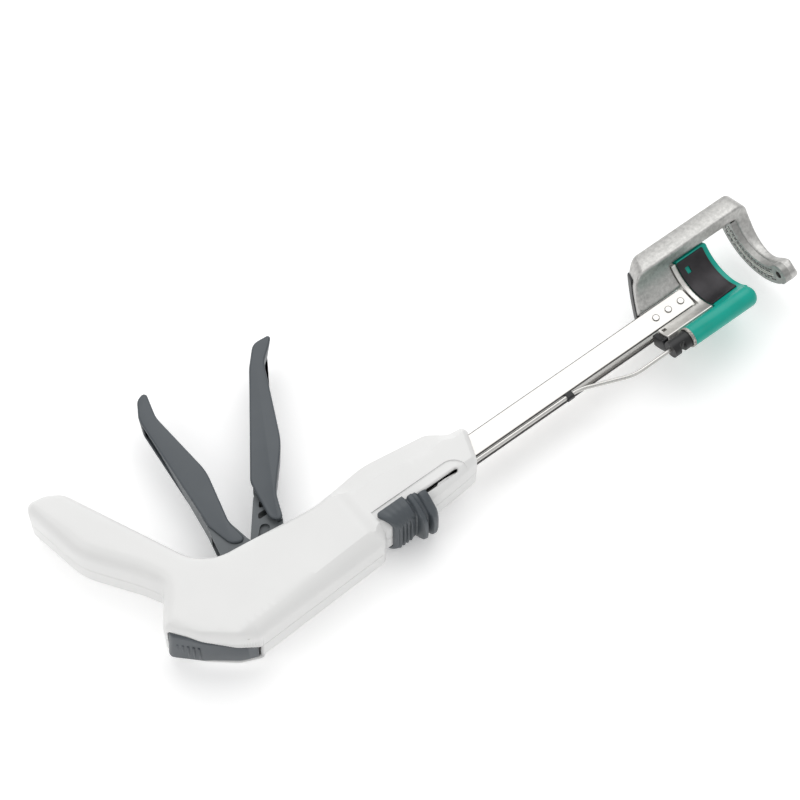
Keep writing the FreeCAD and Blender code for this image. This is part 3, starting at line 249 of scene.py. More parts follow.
def rounded_line(corners, step=1.1):
    """Closed line through corners (x, y, radius, more), each an arc, the other values carried along."""
    line = []
    count = len(corners)
    arcs = []
    for index, (x, y, radius, *rest) in enumerate(corners):
        corner = Vector((x, y))
        back = Vector(corners[index - 1][:2]) - corner
        ahead = Vector(corners[(index + 1) % count][:2]) - corner
        room = 0.49 * min(back.length, ahead.length)
        back.normalize()
        ahead.normalize()
        half = back.angle(ahead) / 2
        reach = min(radius / math.tan(half), room)
        radius = reach * math.tan(half)
        middle = corner + (back + ahead).normalized() * (radius / math.sin(half))
        arcs.append((corner + back * reach, corner + ahead * reach, middle, radius, rest))
    for index, (start, end, middle, radius, rest) in enumerate(arcs):
        arm = start - middle
        other = end - middle
        turn = 0.0
        steps = 0
        if radius > 1e-6:
            turn = math.atan2(arm.x * other.y - arm.y * other.x, arm.dot(other))
            steps = max(2, int(abs(turn) * radius / (step * 0.6)), int(abs(turn) / 0.16))
        for number in range(steps + 1):
            angle = turn * (number / steps if steps else 0)
            point = middle + Vector((arm.x * math.cos(angle) - arm.y * math.sin(angle),
                                     arm.x * math.sin(angle) + arm.y * math.cos(angle)))
            line.append((point.x, point.y, *rest))
        after = arcs[(index + 1) % count]
        run = after[0] - end
        steps = int(run.length / step)
        for number in range(1, steps):
            share = number / steps
            mixed = [low + (high - low) * eased(share) for low, high in zip(rest, after[4])]
            point = end + run * share
            line.append((point.x, point.y, *mixed))
    return line


def signed_area(line):
    """Area in a closed line, below zero where it runs clockwise."""
    return 0.5 * (line[:, 0] * np.roll(line[:, 1], -1) - line[:, 1] * np.roll(line[:, 0], -1)).sum()


def inward_ways(line):
    """Unit vectors that point into a closed line, one for each of its points."""
    along = np.roll(line, -1, axis=0) - np.roll(line, 1, axis=0)
    along /= np.sqrt((along ** 2).sum(axis=1))[:, None]
    return np.stack([-along[:, 1], along[:, 0]], axis=1) * (1 if signed_area(line) > 0 else -1)


def inside(places, line):
    """Which of many points lie in a closed line."""
    places = np.atleast_2d(places)
    edge = [point[:2] for point in line]
    within = np.zeros(len(places), bool)
    for (x, y), (last_x, last_y) in zip(edge, edge[-1:] + edge[:-1]):
        if y != last_y:
            crossing = (last_x - x) * (places[:, 1] - y) / (last_y - y) + x
            within ^= ((y > places[:, 1]) != (last_y > places[:, 1])) & (places[:, 0] < crossing)
    return within


def side_height(x, y):
    """Half thickness away from the edges; it thins to the nose and steps down at the rail."""
    start, run, sink = NOSE_TAPER
    half = MID - sink * eased((x - start) / run)
    end_x, end_y, reach = RAIL_END
    reach -= STEP_WIDTH / 2
    on_rail = x > RAIL_REAR + STEP_WIDTH / 2 and y < end_y + reach
    if on_rail and x > end_x:
        on_rail = x < end_x + reach and (y < end_y or math.hypot(x - end_x, y - end_y) < reach)
    return half - RAIL_STEP if on_rail else half


def heel_taper(x):
    """How far the heel mouth and its wedge have closed towards the toe, from 0 to 1."""
    start, run = HEEL_TAPER
    return clamped((x - start) / run)


def mouth(x, y, up):
    """Half height that is open in the wall at a place: trigger, heel or nose mouth, or none."""
    rear, front, lowest, half = TRIGGER_MOUTH
    if rear < x < front and y > lowest:
        return half
    if inside((x, y), HEEL_MOUTH)[0]:
        full, lost, lower = HEEL_HALF
        return full - lost * heel_taper(x) if up else lower
    least, width, half = NOSE_MOUTH
    return half if x > least and abs(y) < width else 0.0


def rail_line(shift):
    """Edge of the step round the rail, moved inwards by a shift."""
    x, y, radius = RAIL_END
    reach = radius - shift
    rear = RAIL_REAR + shift
    back = [(rear, y + reach - 1.2 * step) for step in range(12, 0, -1)]
    steps = int((x - rear) / 1.6)
    top = [(rear + (x - rear) * step / steps, y + reach) for step in range(steps)]
    arc = [(x + reach * math.cos(angle), y + reach * math.sin(angle))
           for angle in (math.radians(90 - 6 * step) for step in range(16))]
    return back + top + arc + [(x + reach, -11.2), (x + reach, -14)]


def circle_line(x, y, radius, count=28):
    """Closed outline of a round hole."""
    turns = [2 * math.pi * step / count for step in range(count)]
    return [(x + radius * math.cos(turn), y + radius * math.sin(turn)) for turn in turns]


def slot_line(rear, front, y, half):
    """Closed outline of a slot with round ends."""
    turns = [math.radians(turn) for turn in range(0, 181, 20)]
    return ([(front + half * math.sin(turn) - half, y - half * math.cos(turn)) for turn in turns]
            + [(rear + half - half * math.sin(turn), y + half * math.cos(turn)) for turn in turns])


def shell_plan(holes):
    """Flat net of a side face, dense inside the outline, with how far each point has rolled over."""
    line = rounded_line(HOUSING_CORNERS)
    edge = np.array([point[:2] for point in line])
    width = np.array([point[2] for point in line])
    crisp = np.array([point[3] for point in line])
    ahead = np.roll(edge, -1, axis=0)
    run = ahead - edge
    length = (run ** 2).sum(axis=1)

    def nearest(points):
        """Distance to the outline, and the bevel width and crispness there."""
        away = points[:, None, :] - edge[None]
        share = np.clip((away * run[None]).sum(axis=2) / length[None], 0, 1)
        gap = np.sqrt(((away - share[..., None] * run[None]) ** 2).sum(axis=2))
        best = gap.argmin(axis=1)
        rows = np.arange(len(points))
        part = share[rows, best]
        following = (best + 1) % len(edge)
        carried = [value[best] * (1 - part) + value[following] * part for value in (width, crisp)]
        return gap[rows, best], *carried

    inwards = inward_ways(edge)
    points = [tuple(point) for point in edge]
    borders = [[(index, (index + 1) % len(edge)) for index in range(len(edge))]]
    extra = []
    for share in RING_SHARES:
        ring = edge + inwards * (width * share)[:, None]
        gap = nearest(ring)[0]
        extra += [tuple(point) for point, near, wanted in zip(ring, gap, width * share)
                  if near > wanted * 0.985]
    low = edge.min(axis=0)
    high = edge.max(axis=0)
    across, along = NET_PITCH
    for row in range(int((high[1] - low[1]) / along) + 1):
        for column in range(int((high[0] - low[0]) / across) + 1):
            extra.append((low[0] + across * (column + 0.5 * (row % 2)), low[1] + along * row))
    # finer where the side face sinks towards the nose
    for column in range(11):
        extra += [(0.4 + NOSE_PITCH[0] * column, -16 + NOSE_PITCH[1] * row) for row in range(30)]
    extra = np.array(extra)
    extra = extra[inside(extra, line) & (nearest(extra)[0] > 0.02)]
    loops = [(rail_line(0.0), False), (rail_line(STEP_WIDTH), False)] + [(hole, True) for hole in holes]
    for loop, closed in loops:
        loop = [point for point, kept in zip(loop, inside(loop, line)) if kept]
        first = len(points)
        points += loop
        count = len(loop)
        borders.append([(first + step, first + (step + 1) % count)
                        for step in range(count if closed else count - 1)])
    fixed = np.array(points[len(edge):])
    clear = ((extra[:, None, :] - fixed[None]) ** 2).sum(axis=2).min(axis=1) > 0.09
    points += [tuple(point) for point in extra[clear]]
    net = delaunay_2d_cdt([Vector(point) for point in points],
                          [pair for border in borders for pair in border], [], 0, 1e-5)
    flat = np.array([tuple(point) for point in net[0]])
    gap, near_width, near_crisp = nearest(flat)
    share = np.clip(gap / near_width, 0, 1)
    rolled = 1 - np.sqrt(1 - (1 - share) ** 2)
    drop = near_crisp * (1 - share) + (1 - near_crisp) * rolled
    centres = np.array([flat[list(face)].mean(axis=0) for face in net[2]])
    kept = inside(centres, line)
    holed = [inside(centres, hole) for hole in holes]
    return edge, ahead, inwards, flat, gap, drop, net[2], kept, holed


def hollow(piece, thickness):
    """Gives a skin its wall, inwards."""
    wall = piece.modifiers.new("wall", "SOLIDIFY")
    wall.thickness = thickness * MM
    wall.offset = -1


def shell_skin(name, up, plan, holes, node):
    """One moulded shell: side face, rolled edge and wall, over the net."""
    edge, ahead, inwards, flat, gap, drop, faces, kept, holed = plan
    left_out = holed[0] if up else np.any(holed, axis=0)
    shell = bmesh.new()
    corners = []
    for (x, y), fall, near in zip(flat, drop, gap):
        base = max(BEVEL_FOOT, mouth(x, y, up)) if near < MOUTH_REACH else BEVEL_FOOT
        corners.append(shell.verts.new((x, y, base + (side_height(x, y) - base) * (1 - fall))))
    for face, in_line, in_hole in zip(faces, kept, left_out):
        if in_line and not in_hole:
            shell.faces.new([corners[index] for index in face])
    rim = {(round(vert.co.x, 3), round(vert.co.y, 3)): vert for vert in corners}
    rod_from, rod_to, rod_low, rod_high = ROD_MOUTH
    groove_top, groove_depth = SEAM_GROOVE
    next_ways = np.roll(inwards, -1, axis=0)
    for (x, y), (next_x, next_y), way, next_way in zip(edge, ahead, inwards, next_ways):
        start = rim[(round(x, 3), round(y, 3))]
        end = rim[(round(next_x, 3), round(next_y, 3))]
        middle = ((x + next_x) / 2, (y + next_y) / 2)
        foot = mouth(*middle, up)
        if foot > start.co.z - LEAST_BAND:
            continue
        bands = [(foot, min(start.co.z, end.co.z))]
        if up and middle[0] > NOSE_MOUTH[0] and rod_from < middle[1] < rod_to:
            bands = [(0.0, rod_low), (rod_high, start.co.z)]
        for bottom, top in bands:
            levels = [bottom, groove_top, top] if bottom == 0 else [bottom, top]
            for base, head in zip(levels, levels[1:]):
                sunk = groove_depth if base == 0 else 0.0
                quad = [shell.verts.new((px + turn[0] * tuck, py + turn[1] * tuck, level))
                        for px, py, turn, level, tuck in (
                            (x, y, way, base, sunk), (next_x, next_y, next_way, base, sunk),
                            (next_x, next_y, next_way, head, 0), (x, y, way, head, 0))]
                if head == top and top > rod_high + 0.2:
                    quad[2].co.z = end.co.z
                    quad[3].co.z = start.co.z
                shell.faces.new(quad)
    for hole in ([] if up else holes[1:]):
        for step, (x, y) in enumerate(hole):
            next_x, next_y = hole[(step + 1) % len(hole)]
            start = rim[(round(x, 3), round(y, 3))]
            end = rim[(round(next_x, 3), round(next_y, 3))]
            shell.faces.new([shell.verts.new((x, y, SCREW_FLOOR)),
                             shell.verts.new((next_x, next_y, SCREW_FLOOR)),
                             shell.verts.new(end.co), shell.verts.new(start.co)])
    bmesh.ops.remove_doubles(shell, verts=shell.verts, dist=1e-4)
    bmesh.ops.delete(shell, geom=[vert for vert in shell.verts if not vert.link_faces], context="VERTS")
    bmesh.ops.recalc_face_normals(shell, faces=shell.faces)
    top = max(shell.faces, key=lambda face: face.calc_center_median().z)
    if top.normal.z < 0:
        bmesh.ops.reverse_faces(shell, faces=shell.faces)
    for vert in shell.verts:
        vert.co = Vector((vert.co.x, vert.co.y, MID + vert.co.z * (1 if up else -1))) * MM
    if not up:
        bmesh.ops.reverse_faces(shell, faces=shell.faces)
    mesh = bpy.data.meshes.new(name)
    shell.to_mesh(mesh)
    shell.free()
    mesh.shade_smooth()
    mesh.set_sharp_from_angle(angle=math.radians(24))
    mesh.materials.append(abs_white)
    piece = bpy.data.objects.new(name, mesh)
    bpy.context.scene.collection.objects.link(piece)
    hollow(piece, SHELL_WALL)
    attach(piece, "handle")
    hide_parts(node)


holes = [slot_line(*SADDLE_SLOT)] + [circle_line(x, y, SCREW_RADIUS) for x, y in SCREW_PLACES]
plan = shell_plan(holes)
shell_skin("housing_shell_upper", True, plan, holes, "housing_left")
shell_skin("housing_shell_lower", False, plan, holes, "housing_right")


# ---------------- finger covers
# One cover for each trigger, of slate glass-filled nylon, moulded as a channel
# that is open at the back and snaps over the trigger's arm.

# x, y and corner radius
CLOSING_COVER = [
    (-39.2, 22.6, 3.0), (-40.8, 34.5, 14.0), (-33.8, 62.0, 30.0), (-36.2, 98.0, 16.0),
    (-34.0, 106.0, 5.0), (-32.2, 112.4, 1.8), (-38.2, 110.6, 5.0), (-43.4, 102.0, 10.0),
    (-49.3, 39.0, 5.0), (-46.4, 25.4, 6.0),
]
FIRING_COVER = [
    (-20.6, 21.0, 2.4), (-15.2, 34.5, 16.0), (1.6, 53.0, 40.0), (19.8, 91.4, 12.0),
    (27.4, 97.4, 6.0), (31.4, 101.6, 1.8), (21.2, 102.4, 6.0), (12.4, 93.0, 30.0),
    (-21.6, 45.5, 9.0), (-25.4, 24.8, 5.0),
]
# the wall of the channel is left out where the outline runs through these areas
CLOSING_BACK = [(-36.0, 18), (-36.5, 29.5), (-42.6, 30.5), (-43.0, 33.0), (-41.4, 60),
                (-39.5, 98), (-48, 101), (-60, 30)]
FIRING_BACK = [(-23.5, 18), (-20.0, 34.6), (-8.0, 57.0), (15.5, 91.0), (9, 96), (-30, 46), (-34, 18)]
COVER_LEVELS = (8.0, 24.0)
COVER_EDGE = 1.1
COVER_WALL = 1.2
DRAFT = 0.05
TIP_LEAN = (84.0, 8.0)  # y where the tip starts to lean, and its run
FIRING_LEAN = 0.1

# Glass-filled nylon, dyed slate: satin, with a faint grain from the sparked tool
# and slow drifts of tone where the glass shows through.
slate, tree, shader, here = surface("moulded_slate_nylon", "#4C5257", Roughness=0.42, IOR=1.53)
tinted(tree, shader, noise(tree, here, 60.0, 3.0), "#42484D", "#4E5459")
relief(tree, shader, noise(tree, here, 3200.0, 3.0), 0.18, 0.00006)


def stitch(shape, rows):
    """Quads between closed rows of corners, from each row to the next."""
    for row, above in zip(rows, rows[1:]):
        for index in range(len(row)):
            after = (index + 1) % len(row)
            shape.faces.new((row[index], row[after], above[after], above[index]))


def finish_shape(name, shape, material, body, nodes, sharp=35):
    """Turns a shape in millimetres into a piece that rides on a body and stands for CAD nodes."""
    bmesh.ops.remove_doubles(shape, verts=shape.verts, dist=1e-4)
    bmesh.ops.recalc_face_normals(shape, faces=shape.faces)
    bmesh.ops.scale(shape, vec=(MM, MM, MM), verts=shape.verts)
    mesh = bpy.data.meshes.new(name)
    shape.to_mesh(mesh)
    shape.free()
    mesh.shade_smooth()
    mesh.set_sharp_from_angle(angle=math.radians(sharp))
    mesh.materials.append(material)
    piece = bpy.data.objects.new(name, mesh)
    bpy.context.scene.collection.objects.link(piece)
    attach(piece, body)
    if nodes:
        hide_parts(*nodes)
    return piece


def moulded_channel(name, outline, open_side, body, node, lean=0.0):
    """A finger cover: its faces roll over the edge into the wall, and the back is open for the arm."""
    low, high = COVER_LEVELS
    line = np.array([point[:2] for point in rounded_line(outline, 1.6)])
    inwards = inward_ways(line)
    turns = [math.radians(turn) for turn in (0, 22, 45, 68, 90)]
    rings = [(line + inwards * COVER_EDGE * (1 - math.cos(turn)), high - COVER_EDGE * (1 - math.sin(turn)))
             for turn in turns]
    rings = [(ring, low + high - level) for ring, level in reversed(rings)] + rings
    rings = [(ring + inwards * DRAFT * (high - level), level) for ring, level in rings]
    start, run = TIP_LEAN
    shape = bmesh.new()
    rows = [[shape.verts.new((x - lean * (high - level) * clamped((y - start) / run), y, level))
             for x, y in ring] for ring, level in rings]
    for number, (row, above) in enumerate(zip(rows, rows[1:])):
        straight_wall = number == len(turns) - 1
        for index in range(len(row)):
            after = (index + 1) % len(row)
            middle = (line[index] + line[after]) / 2
            if not (straight_wall and inside(middle, open_side)[0]):
                shape.faces.new((row[index], row[after], above[after], above[index]))
    shape.faces.new(rows[-1])
    shape.faces.new(rows[0][::-1])
    hollow(finish_shape(name, shape, slate, body, [node], 50), COVER_WALL)


moulded_channel("closing_cover_moulding", CLOSING_COVER, CLOSING_BACK,
                "closing_trigger", "closing_trigger_cover")
moulded_channel("firing_cover_moulding", FIRING_COVER, FIRING_BACK,
                "firing_trigger", "firing_trigger_cover", FIRING_LEAN)


# ---------------- heel button
# Thumb release wedge of the same slate nylon, hinged inside the heel. Its face
# follows the heel and tapers to nothing at the toe.

BUTTON_LINE = [
    (-63.9, -18.9, 1.0), (-71.2, -16.2, 20.0), (-84.6, -5.6, 14.0), (-94.2, 5.6, 2.6),
    (-90.6, 10.4, 2.0), (-86.5, 9.0, 2.0), (-66.0, -10.6, 2.0), (-62.8, -13.8, 1.0),
]
WEDGE_HALF = (10.3, 10.2, 11.9)  # at the heel, lost by the toe, and below the seam
WEDGE_FLARE = (1.7, -82.0, 10.0)  # how far the lower half stands out, from what x, its run
# share of the half height, and how far the outline is tucked in there
WEDGE_RINGS = ((-1.0, 1.3), (-0.97, 0.6), (-0.9, 0.15), (-0.8, 0.0),
               (0.8, 0.0), (0.9, 0.15), (0.97, 0.6), (1.0, 1.3))


def wedge_half(x, level):
    """Half height of the wedge at a place, above or below the seam."""
    full, lost, lower = WEDGE_HALF
    return full - lost * heel_taper(x) if level > 0 else lower


line = np.array([point[:2] for point in rounded_line(BUTTON_LINE, 1.2)])
inwards = inward_ways(line)
flare, flare_start, flare_run = WEDGE_FLARE
shape = bmesh.new()
rows = []
for level, tuck in WEDGE_RINGS:
    out = flare if level < 0 else 0.0
    rows.append([shape.verts.new((x - out * clamped((flare_start - x) / flare_run), y,
                                  MID + level * wedge_half(x, level)))
                 for x, y in line + inwards * tuck])
stitch(shape, rows)
for row in (rows[-1], rows[0]):
    cap = shape.faces.new(row)
    bmesh.ops.triangulate(shape, faces=[cap])
finish_shape("heel_button_wedge", shape, slate, "heel_button", ["release_button"])


# ---------------- heel grip ribs
# Five short upright ribs, moulded in one with the wedge, that give the thumb a
# hold. Each is a bar with round ends, half sunk in the wedge's face.

RIB_COUNT = 5
RIB_HALF = 6.2
RIB_RADIUS = 0.62
FIRST_RIB = (-92.1, 2.9, 12.6)
LAST_RIB = (-85.9, -4.6, 12.6)


def repeated(name, unit, count, first, last, material, body):
    """A row of like shapes along a line, made by Geometry Nodes and turned to a plain mesh."""
    tree = bpy.data.node_groups.new(name + "_row", "GeometryNodeTree")
    sockets = {}
    for label, kind in (("Count", "NodeSocketInt"), ("First", "NodeSocketVector"),
                        ("Last", "NodeSocketVector"), ("Unit", "NodeSocketObject"),
                        ("Finish", "NodeSocketMaterial")):
        sockets[label] = tree.interface.new_socket(label, in_out="INPUT", socket_type=kind).identifier
    tree.interface.new_socket("Geometry", in_out="OUTPUT", socket_type="NodeSocketGeometry")
    given = add(tree, "NodeGroupInput")
    path = add(tree, "GeometryNodeMeshLine",
               {"Count": given.outputs["Count"], "Start Location": given.outputs["First"],
                "Offset": given.outputs["Last"]}, mode="END_POINTS")
    one = add(tree, "GeometryNodeObjectInfo", {"Object": given.outputs["Unit"]},
              transform_space="ORIGINAL")
    spread = add(tree, "GeometryNodeInstanceOnPoints",
                 {"Points": path.outputs["Mesh"], "Instance": one.outputs["Geometry"]})
    whole = add(tree, "GeometryNodeRealizeInstances", {"Geometry": spread.outputs["Instances"]})
    dressed = add(tree, "GeometryNodeSetMaterial",
                  {"Geometry": whole.outputs["Geometry"], "Material": given.outputs["Finish"]})
    add(tree, "NodeGroupOutput", {"Geometry": dressed.outputs["Geometry"]})
    holder = bpy.data.objects.new(name + "_holder", bpy.data.meshes.new(name + "_holder"))
    bpy.context.scene.collection.objects.link(holder)
    row = holder.modifiers.new("row", "NODES")
    row.node_group = tree
    for label, value in (("Count", count), ("First", [value * MM for value in first]),
                         ("Last", [value * MM for value in last]), ("Unit", unit),
                         ("Finish", material)):
        row[sockets[label]] = value
    graph = bpy.context.evaluated_depsgraph_get()
    mesh = bpy.data.meshes.new_from_object(holder.evaluated_get(graph))
    mesh.name = name
    holder.modifiers.clear()
    bpy.data.objects.remove(holder)
    bpy.data.objects.remove(unit)
    mesh.shade_smooth()
    mesh.set_sharp_from_angle(angle=math.radians(40))
    piece = bpy.data.objects.new(name, mesh)
    bpy.context.scene.collection.objects.link(piece)
    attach(piece, body)


def unit_from(shape):
    """A loose shape in millimetres, round the origin, to be repeated."""
    bmesh.ops.recalc_face_normals(shape, faces=shape.faces)
    bmesh.ops.scale(shape, vec=(MM, MM, MM), verts=shape.verts)
    mesh = bpy.data.meshes.new("unit")
    shape.to_mesh(mesh)
    shape.free()
    unit = bpy.data.objects.new("unit", mesh)
    bpy.context.scene.collection.objects.link(unit)
    return unit


def pill(half_length, radius):
    """A bar with round ends along Z."""
    shape = bmesh.new()
    bmesh.ops.create_uvsphere(shape, u_segments=12, v_segments=10, radius=radius)
    for vert in shape.verts:
        if abs(vert.co.z) > 1e-6:
            vert.co.z += math.copysign(half_length - radius, vert.co.z)
    return shape


repeated("heel_grip_ribs", unit_from(pill(RIB_HALF, RIB_RADIUS)), RIB_COUNT, FIRST_RIB, LAST_RIB,
         slate, "heel_button")


# ---------------- saddle slide
# The slide that works the guide pin: a slate moulding that straddles the rail,
# with a flat plate, grip ribs on its edge and a collar of two rims at the front.

SADDLE_REAR = 11.0
SADDLE_FRONT = 36.0
RAIL_HALF = 12.9  # half height and y of the slide's inside
RAIL_SIDE = -12.6
RAIL_ROLL = 4.2  # radius of the rail's edge, which the slide wraps
LOWEST = 0.05  # the lower rims stay this far above the floor
LUG_SIZE = (7.0, 1.5, 12.0)
LUG_PLACE = (27.5, -8.2, 24.0)
GRIP_RIBS = 4
GRIP_START = 1.6
GRIP_PITCH = 3.2
# x past the rib's start, wall and crest
GRIP_RIB = ((0.0, 2.0, 0.3), (0.5, 2.1, 1.1), (0.9, 2.1, 1.3), (1.4, 2.1, 1.1), (1.9, 2.0, 0.3))
# x, wall and crest
SADDLE_TAIL = [(SADDLE_REAR, 1.2, 0.0), (SADDLE_REAR + 0.35, 1.8, 0.2), (SADDLE_REAR + 0.9, 2.0, 0.3)]
SADDLE_COLLAR = [
    (25.9, 1.9, 0.3), (26.4, 1.4, 0.4), (27.0, 1.4, 1.0), (27.3, 2.7, 3.2), (27.7, 3.2, 4.0),
    (29.1, 3.4, 4.2), (29.7, 3.0, 3.8), (30.1, 2.2, 2.6), (31.5, 2.1, 2.6), (31.9, 2.9, 3.6),
    (32.4, 3.4, 4.3), (34.0, 3.5, 4.4), (35.2, 3.1, 4.0), (SADDLE_FRONT, 2.6, 3.2),
]
# x after which the plate's edge lies lower, and how much
PLATE_STEPS = ((26.2, 1.9), (31.7, 2.0))


def wrap_line(end_y, wall):
    """Upper half of a section line, at a wall's distance from the rail."""
    line = [(end_y, MID + RAIL_HALF + wall)]
    reach = RAIL_ROLL + wall
    for turn in range(0, 91, 10):
        angle = math.radians(turn)
        line.append((RAIL_SIDE + RAIL_ROLL - reach * math.sin(angle),
                     MID + RAIL_HALF - RAIL_ROLL + reach * math.cos(angle)))
    for step in range(1, 9):
        line.append((RAIL_SIDE - wall, MID + (RAIL_HALF - RAIL_ROLL) * (1 - step / 8)))
    return line


def saddle_section(wall, crest, end_y):
    """Closed ring of the slide's section: outside over the rail's rolled edge, back along the inside."""
    outside_line = []
    for y, z in wrap_line(end_y, wall):
        lean = max(0.0, 1 - ((z - MID) / 12.5) ** 4) * clamped((-9.5 - y) / 3.0)
        outside_line.append((y - crest * lean, z))
    inside_line = wrap_line(end_y, 0.0)
    full = outside_line + [(y, max(LOWEST, 2 * MID - z)) for y, z in reversed(outside_line[:-1])]
    back = inside_line + [(y, 2 * MID - z) for y, z in reversed(inside_line[:-1])]
    return full + back[::-1]


stations = SADDLE_TAIL + [(SADDLE_REAR + GRIP_START + GRIP_PITCH * step + past, wall, crest)
                          for step in range(GRIP_RIBS) for past, wall, crest in GRIP_RIB]
shape = bmesh.new()
rows = []
for x, wall, crest in stations + SADDLE_COLLAR:
    lead = min(1.0, (x - SADDLE_REAR) / 2.2)
    end_y = -4.6 - 2.2 * (1 - math.sqrt(1 - (1 - lead) ** 2))
    end_y -= sum(drop for start, drop in PLATE_STEPS if x > start)
    push = 4.8 * max(0.0, 1 - (x - SADDLE_REAR) / 13.0)
    rows.append([shape.verts.new((x + push * clamped((-5.0 - y) / 9.5), y, z))
                 for y, z in saddle_section(wall, crest, end_y)])
stitch(shape, rows)
shape.faces.new(rows[0])
shape.faces.new(rows[-1][::-1])
lug = bmesh.ops.create_cube(shape, size=1.0)["verts"]
bmesh.ops.scale(shape, vec=LUG_SIZE, verts=lug)
bmesh.ops.translate(shape, vec=LUG_PLACE, verts=lug)
for face in [face for face in shape.faces if len(face.verts) > 4]:
    bmesh.ops.triangulate(shape, faces=[face])
finish_shape("saddle_moulding", shape, slate, "saddle", ["saddle_slide"], 38)


# ---------------- trigger arms
# The ribbed arms that carry the covers into the housing, moulded in a stiffer
# grey nylon. They keep the CAD's own shape, ribs and windows.

# Nylon from a plain tool: a shade lighter and duller than the covers.
arm_grey, tree, shader, here = surface("moulded_grey_nylon", "#5A5F63", Roughness=0.5, IOR=1.53)
tinted(tree, shader, noise(tree, here, 90.0, 3.0), "#53585B", "#63686B")
paint(["firing_trigger_arm", "closing_trigger_arm"], arm_grey)


# ---------------- rods, pins, bars and springs
# Stainless parts that are drawn, turned, wound or blanked, and ride or slide in
# the handle and shaft. They keep the CAD's own shape.

DRAWN_SCALE = (60, 4200, 4200)  # the lines run along the shaft


def drawn_lines(tree, here):
    """Fine lengthwise lines that rolling and drawing leave, as an output from 0 to 1."""
    stretch = add(tree, "ShaderNodeMapping", {"Vector": here})
    stretch.inputs["Scale"].default_value = DRAWN_SCALE
    return noise(tree, stretch.outputs["Vector"], 1.0, 3.0)


# Stainless steel: bright, its reflections drawn out along the rolling lines.
steel, tree, shader, here = surface("rolled_stainless", "#C9C8C5", Metallic=1.0, Roughness=0.28)
lines = drawn_lines(tree, here)
rough = add(tree, "ShaderNodeMapRange", {"Value": lines}, To_Min=0.2, To_Max=0.38)
tree.links.new(rough.outputs["Result"], shader.inputs["Roughness"])
relief(tree, shader, lines, 0.08, 0.00003)
paint(["closure_member", "closure_yoke", "firing_bar", "shaft_anchor_pins", "trigger_pivot_pin",
       "button_hinge_pin", "housing_screws", "yoke_rivet", "spring_stop_pin", "closing_drive_pins",
       "firing_drive_pin", "push_rod", "guide_pin", "staples", "knife", "closure_return_spring",
       "firing_return_spring", "pivot_bushes"], steel)


# ---------------- shaft plates
# Two long strips of stainless sheet, blanked in a press and riveted together
# over the bars, with the rivets peened flush. They keep the CAD's own shape.

EDGE_SHADE_BAND = (0.00485, 0.00515)  # distance from the middle over which the painted shade along the sides comes in
END_SHADE_BAND = (0.19805, 0.1984)

# Satin strip, nearly white under the soft box, with painted shade: a near-black
# band along its sides and end, where the edges fall into shade.
plate_steel, tree, shader, here = surface("blanked_stainless_strip", "#B4B2AE", Metallic=0.9,
                                          Roughness=0.4)
strip = between(tree, drawn_lines(tree, here), "#CFCDC9", "#E6E4E0")
apart = add(tree, "ShaderNodeSeparateXYZ", {"Vector": here})
across = add(tree, "ShaderNodeMath", operation="ABSOLUTE")
tree.links.new(apart.outputs["Y"], across.inputs[0])
# painted shade: the strip turns near-black at its sides and at its end
side_shade = add(tree, "ShaderNodeMapRange", {"Value": across.outputs[0]},
              From_Min=EDGE_SHADE_BAND[0], From_Max=EDGE_SHADE_BAND[1])
end_shade = add(tree, "ShaderNodeMapRange", {"Value": apart.outputs["X"]},
            From_Min=END_SHADE_BAND[0], From_Max=END_SHADE_BAND[1])
edge_shade = add(tree, "ShaderNodeMath", operation="MAXIMUM")
tree.links.new(side_shade.outputs["Result"], edge_shade.inputs[0])
tree.links.new(end_shade.outputs["Result"], edge_shade.inputs[1])
tinted(tree, shader, edge_shade.outputs[0], strip, "#2E2C2B")
paint(["frame_plate_left", "frame_plate_right", "plate_rivets"], plate_steel)


# ---------------- head casting
# The C-shaped frame that carries the anvil: die-cast aluminium, bent on the arc
# of the staple line, held by the shaft plates, its lower end drawn to a point.

ARC_Z = 39.5  # height of the head's centre line
UNROLLED = 20.0  # radius on which outlines are laid flat
CASTING = (17.8, 29.2, 1.2)  # inner and outer radius, and rolled edge
CASTING_PINCH = (-48.0, -66.5)  # degrees where the end starts and stops to narrow
REAR_LEAN = (0.4, 10.2, 6.0, 21.6)  # least lean, full lean, y where it starts, its run
REAR_LEAN_FRONT = (197.0, 24.0)  # x where the lean has gone, and its run
BLOCK_PITCH = (1.7, 1.5)
DOUBLED = 0.03  # nearer points count as one
# x, degrees and corner radius
FRAME_LINE = [
    (173.0, 17.8, 1.0), (198.8, 17.8, 1.0), (198.8, 55.0, 1.5), (239.6, 55.0, 2.0),
    (239.6, -47.0, 0.5), (239.6, -66.0, 1.0), (245.2, -66.0, 2.5), (243.4, -30.0, 60.0),
    (247.0, 40.0, 30.0), (247.0, 74.0, 5.5), (173.0, 74.0, 9.0),
]

# Die-cast aluminium, tumbled: its skin is mottled light and dark, matt and
# slightly pitted.
cast, tree, shader, here = surface("tumbled_cast_aluminium", "#C9C9C6", Metallic=0.85, Roughness=0.42)
patch = noise(tree, here, 560.0, 6.0, Roughness=0.65)
tinted(tree, shader, patch, "#858583", "#E2E1DE")
relief(tree, shader, patch, 0.25, 0.0002)


